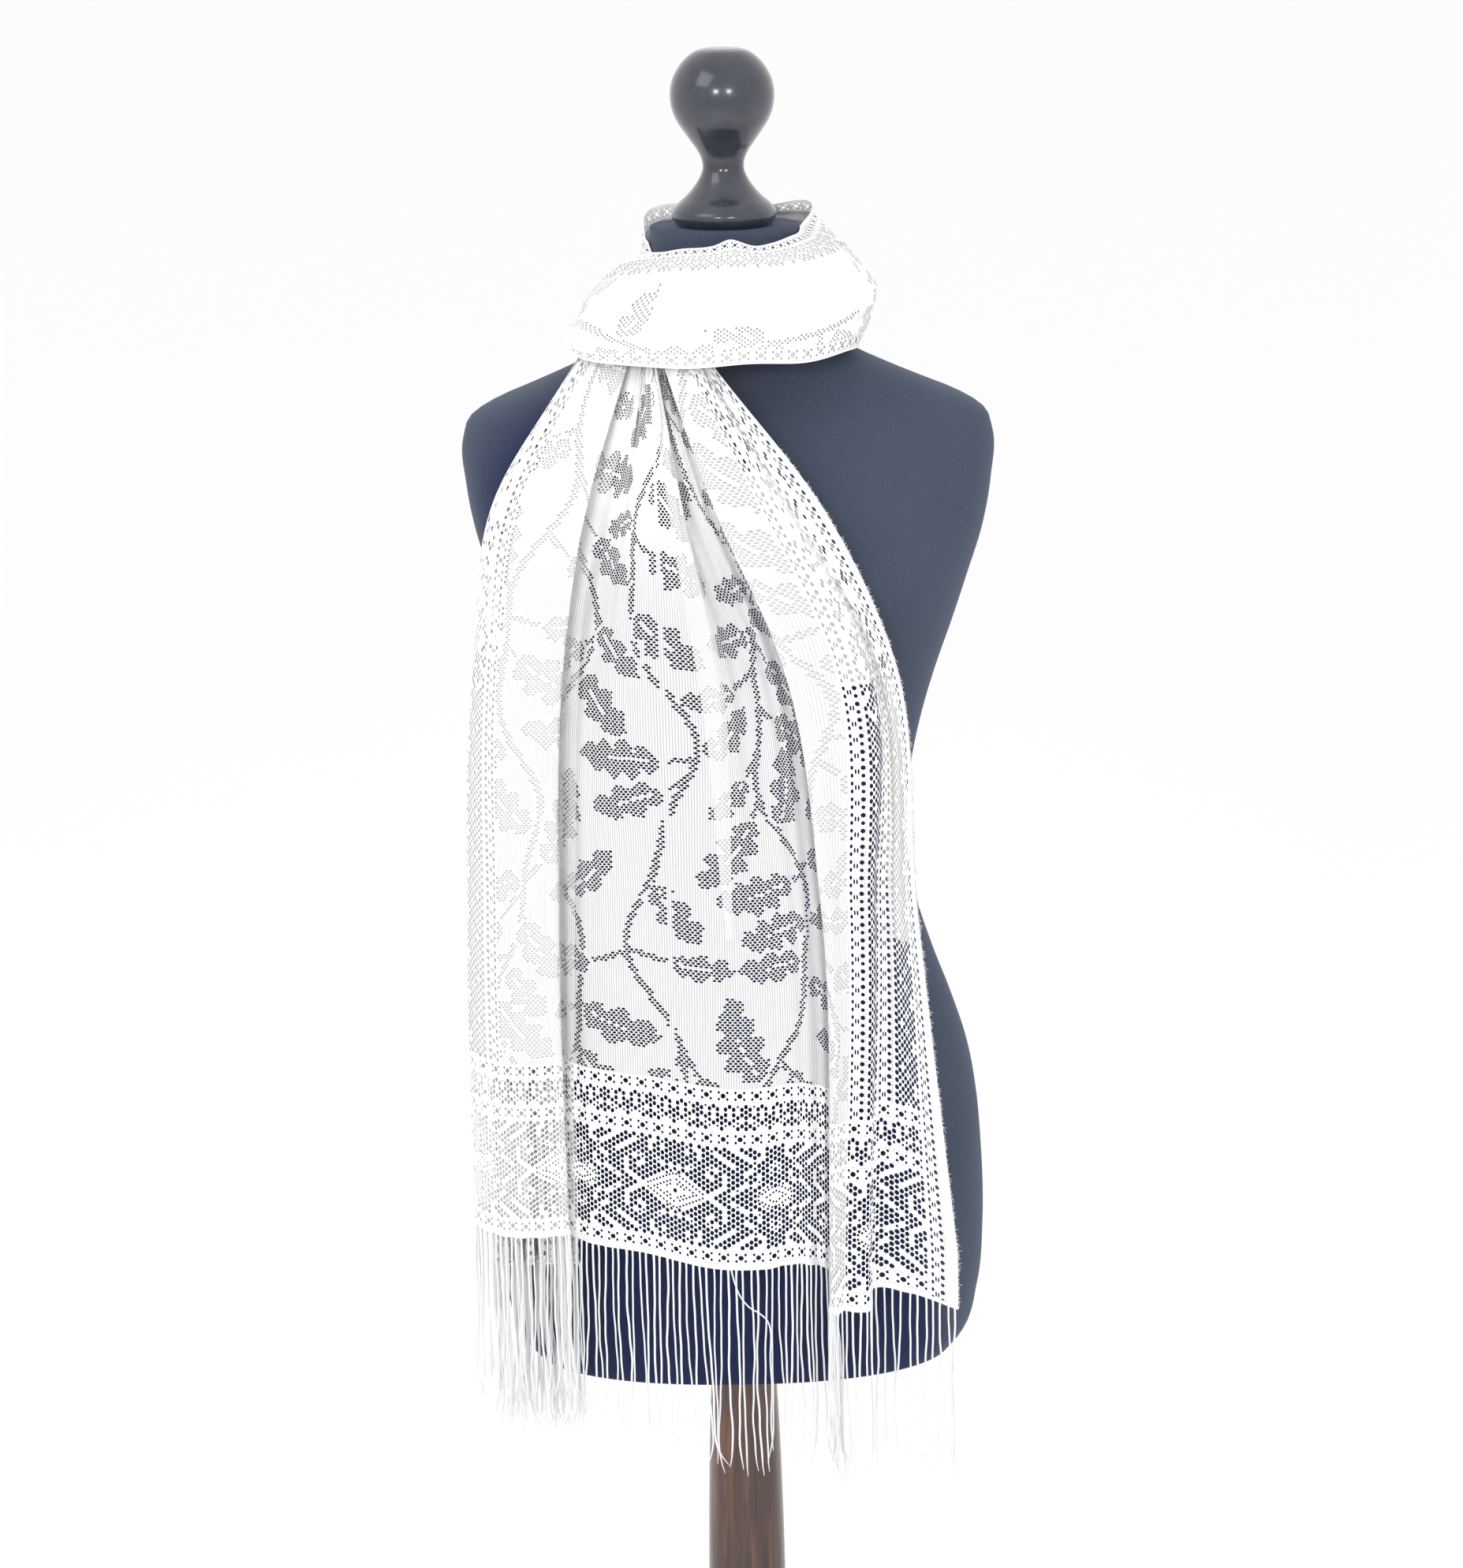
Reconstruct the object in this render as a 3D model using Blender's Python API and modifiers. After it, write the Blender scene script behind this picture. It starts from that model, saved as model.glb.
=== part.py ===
"""A knitted lace shawl looped round the neck of a dress form on a turned stand.

Metres, +Z up, the wearer's front towards -Y. The origin is on the floor, under the pole's axis.
Every table below is in millimetres, and heights on the form and the shawl are above the form's foot.
"""

import math

import bmesh
import bpy
import numpy as np
from mathutils import Vector

MM = 0.001
GAP = 0.3  # between pieces that touch

# The stand, measured from the floor.
BASE_RADIUS = 200.0
BASE_HEIGHT = 44.0
FORM_FOOT = 640.0  # height of the form's flat underside

# The form: a United Kingdom size 8 to 10, waist 65 cm and hip 90 cm round.
NECK_TOP = 810.0
SECTION_POWER = 2.3  # 2 is an ellipse, more is squarer
FORM_SIDES = 30
FORM_SECTIONS = (
    # height, half width, front depth, back depth
    (0, 150, 97, 96),
    (9, 158, 99, 100),
    (45, 170, 102, 108),
    (90, 174, 103, 116),
    (150, 173, 102, 119),
    (187, 170, 99, 117),
    (222, 164, 95, 110),
    (257, 153, 89, 100),
    (292, 140, 84, 88),
    (335, 127, 80, 79),
    (372, 122, 79, 74),
    (410, 123, 84, 74),
    (465, 133, 98, 81),
    (499, 143, 111, 86),
    (533, 155, 121, 91),
    (566, 166, 124.5, 95),
    (600, 177, 111, 97),
    (633, 183, 95, 95),
    (667, 184, 76, 86),
    (681, 178, 68, 80),
    (692, 160, 62, 74),
    (701, 138, 58, 70),
    (712, 112, 55, 66),
    (724, 87, 53, 62),
    (740, 67, 50, 58),
    (765, 56, 48, 54),
    (790, 52, 47, 51),
    (NECK_TOP, 51.5, 47, 50),
)

# The turned pieces: radius and height along each profile, from the outer bottom edge up.
KNOB_PROFILE = (
    (32.0, 0), (35.5, 4), (36.3, 9), (33, 14), (26, 20.4), (20.5, 26.7), (16.5, 33),
    (14.3, 39.2), (15, 45.5), (18, 51.8), (22.3, 58), (26.8, 64.4), (31, 70.7),
    (34.6, 79), (36, 88.5), (35, 98), (31, 107), (25, 114.5), (17.5, 119.6), (12, 121),
)
POLE_PROFILE = (
    (37, 0), (40, 7), (36, 14), (31, 18), (31, 26), (33.5, 60), (33, 150), (29.5, 320), (24, 560), (22, 595),
)
BASE_PROFILE = (
    (194, 0), (BASE_RADIUS, 5), (BASE_RADIUS, 11), (192, 18), (174, 20), (120, 26), (62, 35), (45, BASE_HEIGHT),
)

# The cloth.
CLOTH_WALL = 1.2
WRAP_WALL = 2.0  # the wrap is several layers thick
CLOTH_WIDTH = 515.0
TAIL_CLEAR = 0.8  # between the form and the front tail, which rests on the bust
UNDER_CLEAR = 2.6
TAIL_TOP = 746.0  # where the tails pass up inside the wrap
TOP_GATHER = 0.93  # how far they are drawn together there
LEVELS = (726.0, 636.0, 536.0, 358.0, 100.0)  # knot, bust, ribs, hips and hem

# The front tail's folds, left to right. Columns: how far across the cloth, how far right of the
# middle at each of the five levels, how far in front of the hanging plane there, and the hem's height.
TAIL_FOLDS = (
    # across, right at each level,           forward at each level,  hem
    (0, (-81, -122, -143, -148, -148), (-12, -8, -6, -6, -6), 123),  # left edge, turned under
    (46, (-102, -160, -176, -186, -186), (-4, -8, -8, -3, -1), 126),  # left outline
    (78, (-95, -144, -160, -166, -166), (2, 4, 7, 8, 8), 121),  # inside of the left border
    (104, (-84, -121, -138, -145, -144), (6, 11, 13, 14, 14), 123),
    (130, (-68, -97, -114, -122, -120), (6, 16, 16, 18, 18), 128),  # front of the left pleat
    (165, (-72, -104, -121, -127, -129), (-6, -8, -11, -13, -13), 124),  # its hidden valley
    (192, (-60, -82, -101, -108, -111), (-2, 0, 0, 1, 1), 118),  # middle panel
    (238, (-55, -62, -68, -66, -65), (4, 4, 3, 3, 4), 111),
    (292, (-47, -31, -12, -8, -10), (7, 12, 6, 1, -2), 97),  # narrow pleat that fades out
    (314, (-50, -35, -1, 13, 15), (-6, -6, -4, -3, -3), 96),
    (340, (-45, -21, 18, 38, 40), (-3, -4, -4, -2, 3), 101),
    (370, (-38, -5, 38, 63, 66), (-7, -9, -9, -9, -9), 86),  # hidden valley
    (388, (-42, -10, 32, 58, 61), (5, 9, 9, 9, 9), 68),  # front of the right pleat
    (414, (-25, 22, 68, 78, 73), (3, 4, 4, 1, 0), 65),  # inside of the right border
    (432, (-19, 35, 86, 93, 88), (5, 4, 5, 9, 10), 67),
    (450, (-16, 40, 92, 97, 91), (-5, -4, -6, -8, -8), 77),
    (475, (-12, 48, 99, 111, 115), (2, 2, 4, 6, 5), 77),
    (CLOTH_WIDTH, (-8, 61, 108, 124, 151), (-3, -3, -2, -3, -2), 59),  # right edge
)
# The plane that the front tail hangs in: how far it is in front of the pole's axis, and how much
# it bows back 100 mm out from the middle.
TAIL_HANG = (
    # height, forward, bow
    (50, 133, 7),
    (358, 135, 7),
    (500, 136, 8),
    (566, 136, 9),
    (636, 130, 13),
    (690, 117, 24),
    (726, 105, 48),
    (TAIL_TOP, 96, 46),
)

# The under tail is a bundle of pleats behind the front tail's left side.
UNDER_PLEATS = 7
UNDER_BUNDLE = (
    # height, left side, right side, front of the pleats, back of the pleats
    (92, -174, -116, 101, 68),
    (250, -172, -116, 102, 68),
    (400, -166, -112, 100, 68),
    (500, -160, -108, 97, 70),
    (566, -152, -102, 92, 70),
    (636, -132, -86, 80, 62),
    (700, -92, -62, 62, 50),
    (738, -72, -50, 54, 42),
)

# The wrap round the neck. Columns: direction from the front towards the right in degrees, then the
# radius and height of its top edge, its shoulder, its belly and its lower edge.
WRAP_CENTRE = 1.5  # behind the pole's axis
SEAM = 82  # direction of the gap between the two stretches
SEAM_GAP = 0.3  # in degrees
WRAP_FRONT = (
    (SEAM, 52.5, 809, 80, 798, 105, 768, 92, 728),
    (60, 56, 806, 84, 796, 108, 766, 100, 729),
    (30, 58, 803, 87, 793, 110, 763, 107, 727),
    (5, 59, 804, 87, 792, 110, 762, 110, 728),
    (-20, 59, 801, 86, 790, 116, 759, 119, 727),
    (-40, 60, 798, 86, 787, 120, 753, 123, 728),
    (-60, 62, 795, 88, 782, 119, 748, 120, 730),
    (-72, 69, 789, 90, 776, 111, 746, 110, 732),
    (-80, 80, 780, 90, 770, 99, 748, 98, 736),
)
WRAP_BACK = (
    (SEAM, 52.5, 809, 80, 798, 105, 768, 92, 728),
    (110, 56, 812, 76, 799, 100, 768, 93, 730),
    (145, 58, 817, 71, 803, 91, 772, 89, 735),
    (180, 55, 818, 67, 802, 85, 772, 85, 737),
    (215, 55, 813, 63, 796, 82, 766, 84, 736),
    (250, 54.5, 806, 60, 788, 80, 760, 82, 735),
    (270, 54.2, 802, 61, 785, 77, 761, 78, 742),
    (284, 54.2, 800, 60, 785, 71, 766, 71, 752),
)
WRAP_SAGS = 3.4  # soft folds between the wrap's two edges
WRAP_SAG_DEPTH = 2.6

# The fringe.
STRAND_LENGTH = 142.0
STRAND_WIDTH = 1.6
HEM_STRIP = 2.4  # height of the knitted edge that the strands hang from
FRONT_STRANDS = 108
UNDER_STRANDS = 52

COLOURS = {
    # linear red, green and blue, roughness
    "lace": ((0.93, 0.93, 0.92), 0.85),
    "jersey": ((0.035, 0.04, 0.055), 0.9),
    "lacquer": ((0.03, 0.032, 0.04), 0.25),
    "stand wood": ((0.07, 0.028, 0.02), 0.35),
}


def clear_scene():
    for old in list(bpy.data.objects):
        bpy.data.objects.remove(old)


def material(name):
    found = bpy.data.materials.get(name)
    if found:
        return found
    made = bpy.data.materials.new(name)
    made.use_nodes = True
    shader = made.node_tree.nodes["Principled BSDF"]
    colour, roughness = COLOURS[name]
    shader.inputs["Base Color"].default_value = (*colour, 1)
    shader.inputs["Roughness"].default_value = roughness
    shader.inputs["Metallic"].default_value = 0
    made.diffuse_color = (*colour, 1)
    return made


def put_in_collection(obj, finish):
    parts = bpy.data.collections.get("shawl on dress form")
    if parts is None:
        parts = bpy.data.collections.new("shawl on dress form")
        bpy.context.scene.collection.children.link(parts)
    parts.objects.link(obj)
    obj.data.materials.append(material(finish))
    return obj


def mesh_object(name, points, faces, finish):
    """An object from points in millimetres and lists of corner numbers."""
    mesh = bpy.data.meshes.new(name)
    mesh.from_pydata([Vector(p) * MM for p in points], [], faces)
    mesh.update()
    return put_in_collection(bpy.data.objects.new(name, mesh), finish)


def smooth_through(knots, rows, at):
    """Rows of numbers at rising knots, read at other places along a smooth cubic curve."""
    knots = np.asarray(knots, float)
    rows = np.asarray(rows, float)
    at = np.clip(np.asarray(at, float), knots[0], knots[-1])
    slopes = np.gradient(rows, knots, axis=0)
    i = np.clip(np.searchsorted(knots, at, side="right") - 1, 0, len(knots) - 2)
    span = knots[i + 1] - knots[i]
    s = (at - knots[i]) / span
    if rows.ndim > 1:
        span = span[..., None]
        s = s[..., None]
    start = (1 + 2 * s) * (1 - s) ** 2 * rows[i] + s * (1 - s) ** 2 * span * slopes[i]
    end = s**2 * (3 - 2 * s) * rows[i + 1] - s**2 * (1 - s) * span * slopes[i + 1]
    return start + end


def form_section(height):
    """Half width, front depth and back depth of the form at a height."""
    table = np.array(FORM_SECTIONS, float)
    height = np.asarray(height, float)
    return np.stack([np.interp(height, table[:, 0], table[:, k]) for k in (1, 2, 3)], -1)


def form_front(right, height):
    """How far the form's front stands out at a place, or nothing beside it."""
    half, front, _ = np.moveaxis(form_section(height), -1, 0)
    share = np.clip(1 - np.abs(right / half) ** SECTION_POWER, 0, 1)
    return front * share ** (1 / SECTION_POWER)


def build_form():
    """The form: superellipse sections joined into one closed skin with a flat foot and neck."""
    angles = np.arange(FORM_SIDES) * 2 * math.pi / FORM_SIDES
    points = []
    for height, half, front, back in FORM_SECTIONS:
        for angle in angles:
            across = math.cos(angle)
            deep = math.sin(angle)
            depth = back if deep > 0 else front
            x = half * math.copysign(abs(across) ** (2 / SECTION_POWER), across)
            y = depth * math.copysign(abs(deep) ** (2 / SECTION_POWER), deep)
            points.append((x, y, FORM_FOOT + height))
    rings = len(FORM_SECTIONS)
    faces = [tuple(reversed(range(FORM_SIDES)))]
    for ring in range(rings - 1):
        for side in range(FORM_SIDES):
            after = (side + 1) % FORM_SIDES
            low = ring * FORM_SIDES
            high = low + FORM_SIDES
            faces.append((low + side, low + after, high + after, high + side))
    faces.append(tuple(range((rings - 1) * FORM_SIDES, rings * FORM_SIDES)))
    form = mesh_object("form_torso", points, faces, "jersey")
    form.data.shade_smooth()
    return form


def turned(name, profile, foot, finish, steps):
    """A turned piece from its outer profile, closed to the axis at both ends, standing at a height."""
    points = [(0, 0, profile[0][1])]
    points += [(radius, 0, height) for radius, height in profile]
    points += [(0, 0, profile[-1][1])]
    points.reverse()  # a profile at +X runs down its outer side
    mesh = bpy.data.meshes.new(name)
    mesh.from_pydata([Vector(p) * MM for p in points], [(i, i + 1) for i in range(len(points) - 1)], [])
    piece = put_in_collection(bpy.data.objects.new(name, mesh), finish)
    piece.location.z = foot * MM
    screw = piece.modifiers.new("turn", "SCREW")
    screw.steps = steps
    screw.render_steps = steps
    screw.use_merge_vertices = True
    screw.merge_threshold = 0.00005
    screw.use_smooth_shade = True
    return piece


def tail_points(across, down):
    """Places on the front tail, in millimetres: across the cloth, and down from 0 to 1 at the hem."""
    folds = np.array([row[0] for row in TAIL_FOLDS], float)
    rights = np.array([row[1] for row in TAIL_FOLDS], float)
    forwards = np.array([row[2] for row in TAIL_FOLDS], float)
    hems = np.array([row[3] for row in TAIL_FOLDS], float)
    levels = np.array(LEVELS)[::-1]
    hang = np.array(TAIL_HANG, float)
    rows = []
    for share in down:
        heights = TAIL_TOP + share * (hems - TAIL_TOP)
        fold_right = [smooth_through(levels, rights[k][::-1], heights[k]) for k in range(len(folds))]
        fold_forward = [smooth_through(levels, forwards[k][::-1], heights[k]) for k in range(len(folds))]
        line = np.stack([fold_right, fold_forward, heights], -1)
        right, forward, height = smooth_through(folds, line, across).T
        right = right * np.interp(height, (LEVELS[0], TAIL_TOP), (1, TOP_GATHER))
        plane, bow = smooth_through(hang[:, 0], hang[:, 1:], height).T
        forward = plane + forward - bow * (right / 100) ** 2
        forward = np.maximum(forward, form_front(right, height) + CLOTH_WALL / 2 + TAIL_CLEAR)
        rows.append(np.stack([right, -forward, height + FORM_FOOT], -1))
    return np.array(rows)


def under_points(across, down):
    """Places on the under tail: a zigzag of pleats between its bundle's two sides."""
    table = np.array(UNDER_BUNDLE, float)
    rows = []
    for share in down:
        height = table[-1, 0] + share * (table[0, 0] - table[-1, 0])
        left, right_side, front, back = smooth_through(table[:, 0], table[:, 1:], np.array([height]))[0]
        wave = np.cos(across * 2 * math.pi * UNDER_PLEATS)
        wave = wave * (1.25 - 0.25 * wave**2)
        right = left + across * (right_side - left)
        forward = (front + back) / 2 + wave * (front - back) / 2
        heights = np.full(len(across), height)
        forward = np.maximum(forward, form_front(right, heights) + CLOTH_WALL / 2 + UNDER_CLEAR)
        rows.append(np.stack([right, -forward, heights + FORM_FOOT], -1))
    return np.array(rows)


def wrap_points(table, directions, across):
    """Places on the wrap: a smooth curve from its top edge to its lower edge in each direction."""
    table = np.array(table, float)
    if table[0, 0] > table[-1, 0]:
        table = table[::-1]
    stations = np.array([0, 0.3, 0.62, 1.0])
    rows = []
    for direction in directions:
        radii_heights = smooth_through(table[:, 0], table[:, 1:], np.array([direction]))[0]
        profile = radii_heights.reshape(4, 2)
        radius, height = smooth_through(stations, profile, across).T
        swirl = math.radians(direction) * 1.3
        sag = np.sin(across * WRAP_SAGS * 2 * math.pi + swirl) * WRAP_SAG_DEPTH * np.sin(across * math.pi)
        radius = radius + sag
        turn = math.radians(direction)
        x = radius * math.sin(turn)
        y = WRAP_CENTRE - radius * math.cos(turn)
        rows.append(np.stack([x, y, height + FORM_FOOT], -1))
    return np.array(rows)


def cloth(name, grid, wall):
    """A sheet of cloth from a grid of places, given its thickness evenly on both sides."""
    rows, columns, _ = grid.shape
    faces = []
    for row in range(rows - 1):
        for column in range(columns - 1):
            corner = row * columns + column
            faces.append((corner, corner + columns, corner + columns + 1, corner + 1))
    sheet = mesh_object(name, grid.reshape(-1, 3), faces, "lace")
    solidify = sheet.modifiers.new("wall", "SOLIDIFY")
    solidify.thickness = wall * MM
    solidify.offset = 0
    sheet.data.shade_smooth()
    return sheet


def build_tails():
    """Both tails, each with the fringe that hangs from its hem. Rows lie closer over the bust."""
    across = np.linspace(0, CLOTH_WIDTH, 53)
    down = np.concatenate([np.linspace(0, 0.3, 8), np.linspace(0.36, 1, 12)])
    places = tail_points(across, down)
    cloth("tail_front", places, CLOTH_WALL)
    build_fringe("fringe_front", places[-1], FRONT_STRANDS)
    across = np.linspace(0, 1, UNDER_PLEATS * 4 + 1)
    down = np.concatenate([np.linspace(0, 0.32, 11), np.linspace(0.4, 1, 6)])
    places = under_points(across, down)
    cloth("tail_under", places, CLOTH_WALL)
    build_fringe("fringe_under", places[-1], UNDER_STRANDS)


def build_wrap():
    """The two stretches round the neck, meeting at the right shoulder with a seam's gap."""
    across = np.linspace(0, 1, 15)
    cloth("wrap_front", wrap_points(WRAP_FRONT, np.linspace(SEAM, -80, 26), across), WRAP_WALL)
    cloth("wrap_back", wrap_points(WRAP_BACK, np.linspace(284, SEAM + SEAM_GAP, 26), across), WRAP_WALL)


def strand_lean(x, y, drop):
    """How far a strand drifts sideways and forwards at a drop: a gentle field, so that none cross."""
    share = drop / STRAND_LENGTH
    side = 2.4 * math.sin(x / 17 + y / 29) * share
    forward = 1.6 * math.sin(x / 23 + 1.1) * share
    return side, forward


def build_fringe(name, hem, strands):
    """A knitted strip under a hem, with a square strand hanging from every other cell of it."""
    lengths = np.linalg.norm(np.diff(hem, axis=0), axis=1)
    run = np.concatenate([[0], np.cumsum(lengths)])
    pitch = (run[-1] - 2 * STRAND_WIDTH) / (strands - 1)
    centres = STRAND_WIDTH + np.arange(strands) * pitch
    edges = np.stack([centres - STRAND_WIDTH / 2, centres + STRAND_WIDTH / 2], -1).ravel()
    line = np.stack([np.interp(edges, run, hem[:, k]) for k in range(3)], -1)
    for reach in (-2 * STRAND_WIDTH, 2 * STRAND_WIDTH):
        line[:, 2] = np.minimum(line[:, 2], np.interp(edges + reach, run, hem[:, 2]))
    tangent = np.gradient(line[:, :2], axis=0)
    tangent /= np.linalg.norm(tangent, axis=1)[:, None]
    normal = np.stack([tangent[:, 1], -tangent[:, 0]], -1) * STRAND_WIDTH / 2
    points = []
    for place, out in zip(line, normal):
        top = place[2] - GAP - CLOTH_WALL / 2
        for side, height in ((1, top), (-1, top), (-1, top - HEM_STRIP), (1, top - HEM_STRIP)):
            points.append((place[0] + side * out[0], place[1] + side * out[1], height))
    last = (len(line) - 1) * 4
    faces = [(0, 1, 2, 3), (last + 3, last + 2, last + 1, last)]
    for cell in range(len(line) - 1):
        a = cell * 4
        b = a + 4
        faces += [(a, b, b + 1, a + 1), (a + 1, b + 1, b + 2, a + 2), (a + 3, b + 3, b, a)]
        if cell % 2:
            faces.append((a + 2, b + 2, b + 3, a + 3))
            continue
        ring = [a + 2, b + 2, b + 3, a + 3]
        roots = np.array([points[corner] for corner in ring])
        for drop in (STRAND_LENGTH * 0.45, STRAND_LENGTH):
            side, forward = strand_lean(roots[:, 0].mean(), roots[:, 1].mean(), drop)
            start = len(points)
            for root in roots:
                points.append((root[0] + side, root[1] - forward, root[2] - drop))
            below = [start, start + 1, start + 2, start + 3]
            for k in range(4):
                after = (k + 1) % 4
                faces.append((ring[k], ring[after], below[after], below[k]))
            ring = below
        faces.append(tuple(ring))
    fringe = mesh_object(name, points, faces, "lace")
    shape = bmesh.new()
    shape.from_mesh(fringe.data)
    bmesh.ops.recalc_face_normals(shape, faces=shape.faces)
    shape.to_mesh(fringe.data)
    shape.free()
    return fringe


def build_stand():
    turned("stand_base", BASE_PROFILE, 0, "stand wood", 40)
    pole_height = POLE_PROFILE[-1][1]
    stretch = (FORM_FOOT - BASE_HEIGHT - 2 * GAP) / pole_height
    profile = [(radius, height * stretch) for radius, height in POLE_PROFILE]
    turned("stand_pole", profile, BASE_HEIGHT + GAP, "stand wood", 24)
    turned("neck_knob", KNOB_PROFILE, FORM_FOOT + NECK_TOP + GAP, "lacquer", 28)


def main():
    clear_scene()
    build_stand()
    build_form()
    build_wrap()
    build_tails()


main()
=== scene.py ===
"""The lace shawl on its dress form: the lace, its fringe, the form's jersey and the turned wood.

Tables are in millimetres. Heights on the form and the shawl are above the form's foot, as in the
solids, and every piece is built where its own solid stands.
"""

import math

import bpy
import numpy as np
from mathutils import Matrix, Vector
from mathutils.geometry import delaunay_2d_cdt


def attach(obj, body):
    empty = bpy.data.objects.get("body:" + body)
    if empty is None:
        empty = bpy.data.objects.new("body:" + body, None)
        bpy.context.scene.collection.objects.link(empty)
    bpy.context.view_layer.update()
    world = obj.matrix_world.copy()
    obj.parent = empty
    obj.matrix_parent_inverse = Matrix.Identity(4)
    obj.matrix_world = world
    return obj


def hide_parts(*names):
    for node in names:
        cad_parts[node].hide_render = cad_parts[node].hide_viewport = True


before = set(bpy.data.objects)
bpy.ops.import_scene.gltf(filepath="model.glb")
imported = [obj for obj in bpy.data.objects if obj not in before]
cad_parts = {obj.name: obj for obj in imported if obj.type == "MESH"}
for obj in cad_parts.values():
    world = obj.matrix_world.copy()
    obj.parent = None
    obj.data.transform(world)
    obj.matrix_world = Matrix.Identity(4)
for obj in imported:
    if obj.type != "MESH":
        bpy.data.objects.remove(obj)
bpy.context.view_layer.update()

MM = 0.001
FORM_FOOT = 640.0
NECK_TOP = 810.0

# The photograph's camera, in metres and degrees.
CAMERA_PLACE = (0.0, -3.5, 1.86)
CAMERA_PITCH = 12.970
CAMERA_ROLL = -0.985
CAMERA_LENS = 116.48
CAMERA_SHIFT = -0.0015
SENSOR_WIDTH = 36.0

# The soft lights, in metres and watts, and what they point at.
LIGHTS = (
    # name, place, side, power
    ("left light", (-0.75, -3.1, 2.15), 0.5, 15),
    ("right light", (0.85, -3.1, 2.15), 0.5, 15),
    ("top light", (-1.8, -1.6, 3.4), 1.6, 16),
)
LIT_PLACE = (0, 0, 1.15)
SKY_COLOUR = (0.99, 0.99, 1.0, 1)
SKY_STRENGTH = 1.06

# The form, a United Kingdom size 8 to 10.
SECTION_POWER = 2.3  # 2 is an ellipse, more is squarer
FORM_SECTIONS = (
    # height, half width, front depth, back depth
    (0, 150, 97, 96),
    (9, 158, 99, 100),
    (45, 170, 102, 108),
    (90, 174, 103, 116),
    (150, 173, 102, 119),
    (187, 170, 99, 117),
    (222, 164, 95, 110),
    (257, 153, 89, 100),
    (292, 140, 84, 88),
    (335, 127, 80, 79),
    (372, 122, 79, 74),
    (410, 123, 84, 74),
    (465, 133, 98, 81),
    (499, 143, 111, 86),
    (533, 155, 121, 91),
    (566, 166, 124.5, 95),
    (600, 177, 111, 97),
    (633, 183, 95, 95),
    (667, 184, 76, 86),
    (681, 178, 68, 80),
    (692, 160, 62, 74),
    (701, 138, 58, 70),
    (712, 112, 55, 66),
    (724, 87, 53, 62),
    (740, 67, 50, 58),
    (765, 56, 48, 54),
    (790, 52, 47, 51),
    (NECK_TOP, 51.5, 47, 50),
)
# The shawl hangs before the form left of both these lines: a slope of the height, and an offset in metres.
# The jersey has painted shade there.
SHAWL_SHADE_EDGES = ((-0.104, 0.228), (-0.61, 0.8254))

# The turned pieces: radius and height along each profile, from the outer bottom edge up.
KNOB_FOOT = FORM_FOOT + NECK_TOP + 0.3
POLE_FOOT = 44.3
KNOB_PROFILE = (
    (32.0, 0), (35.5, 4), (36.3, 9), (33, 14), (26, 20.4), (20.5, 26.7), (16.5, 33),
    (14.3, 39.2), (15, 45.5), (18, 51.8), (22.3, 58), (26.8, 64.4), (31, 70.7),
    (34.6, 79), (36, 88.5), (35, 98), (31, 107), (25, 114.5), (17.5, 119.6), (12, 121),
)
POLE_PROFILE = (
    (37, 0), (40, 7), (36, 14), (31, 18), (31, 26), (33.5, 60), (33, 150), (29.5, 320),
    (24, 560), (22, 595.4),
)
BASE_PROFILE = (
    (194, 0), (200, 5), (200, 11), (192, 18), (174, 20), (120, 26), (62, 35), (45, 44),
)

# The cloth as it was knitted. Edges of its parts lie on whole steps of the edge points.
CLOTH_WIDTH = 515.0
TAIL_LENGTH = 655.0
EDGE_STEP = 2.5
RIB = 1.65  # from one knitted rib to the next
COURSE = 0.84  # from one knitted row to the next
PLY = 1.9  # from one ply of the yarn to the next
LEAF_PITCH = 3.3  # the leaves' small holes, staggered
LEAF_ROW = 1.85
LEAF_HOLE = (1.34, 0.95)
SELVEDGE = 7.5
DOT_ROW = 10.0
DOT_PITCH = 10.7
SLIT_PITCH = 2.4
SCROLL_BAND = 21.25
SIDE_BORDER = 80.0
HEM = 4.0
WIDE_BAND = 77.0
NARROW_BAND = 21.5
END_BORDER = 132.5
NET = (2.7, 2.0)  # from one column and one line of the net's staggered holes to the next
NET_HOLE = (1.42, 1.84)
SMALL_HOLE = (0.8, 0.98)
GATHER = 15.0  # from one fine gather to the next, where the knot draws the cloth in
TAIL_CLEAR, UNDER_CLEAR = 2.2, 3.4  # from the form's front to each tail, at least
LAYER_GAP = 1.5  # from the front tail to the doubled parts behind it
# The cloth is slack in its folds on the right, and more so under the knot: places across the cloth, and
# where each lies among the folds, low down and high up.
DRAWN_ACROSS = (0, 340, 410, 435, 482, CLOTH_WIDTH)
DRAWN_LOW = (0, 340, 388, 413, 473, CLOTH_WIDTH)
DRAWN_HIGH = (0, 340, 388, 413, 450, CLOTH_WIDTH)
DRAWN_FROM, DRAWN_FULLY = 420.0, 620.0

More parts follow.
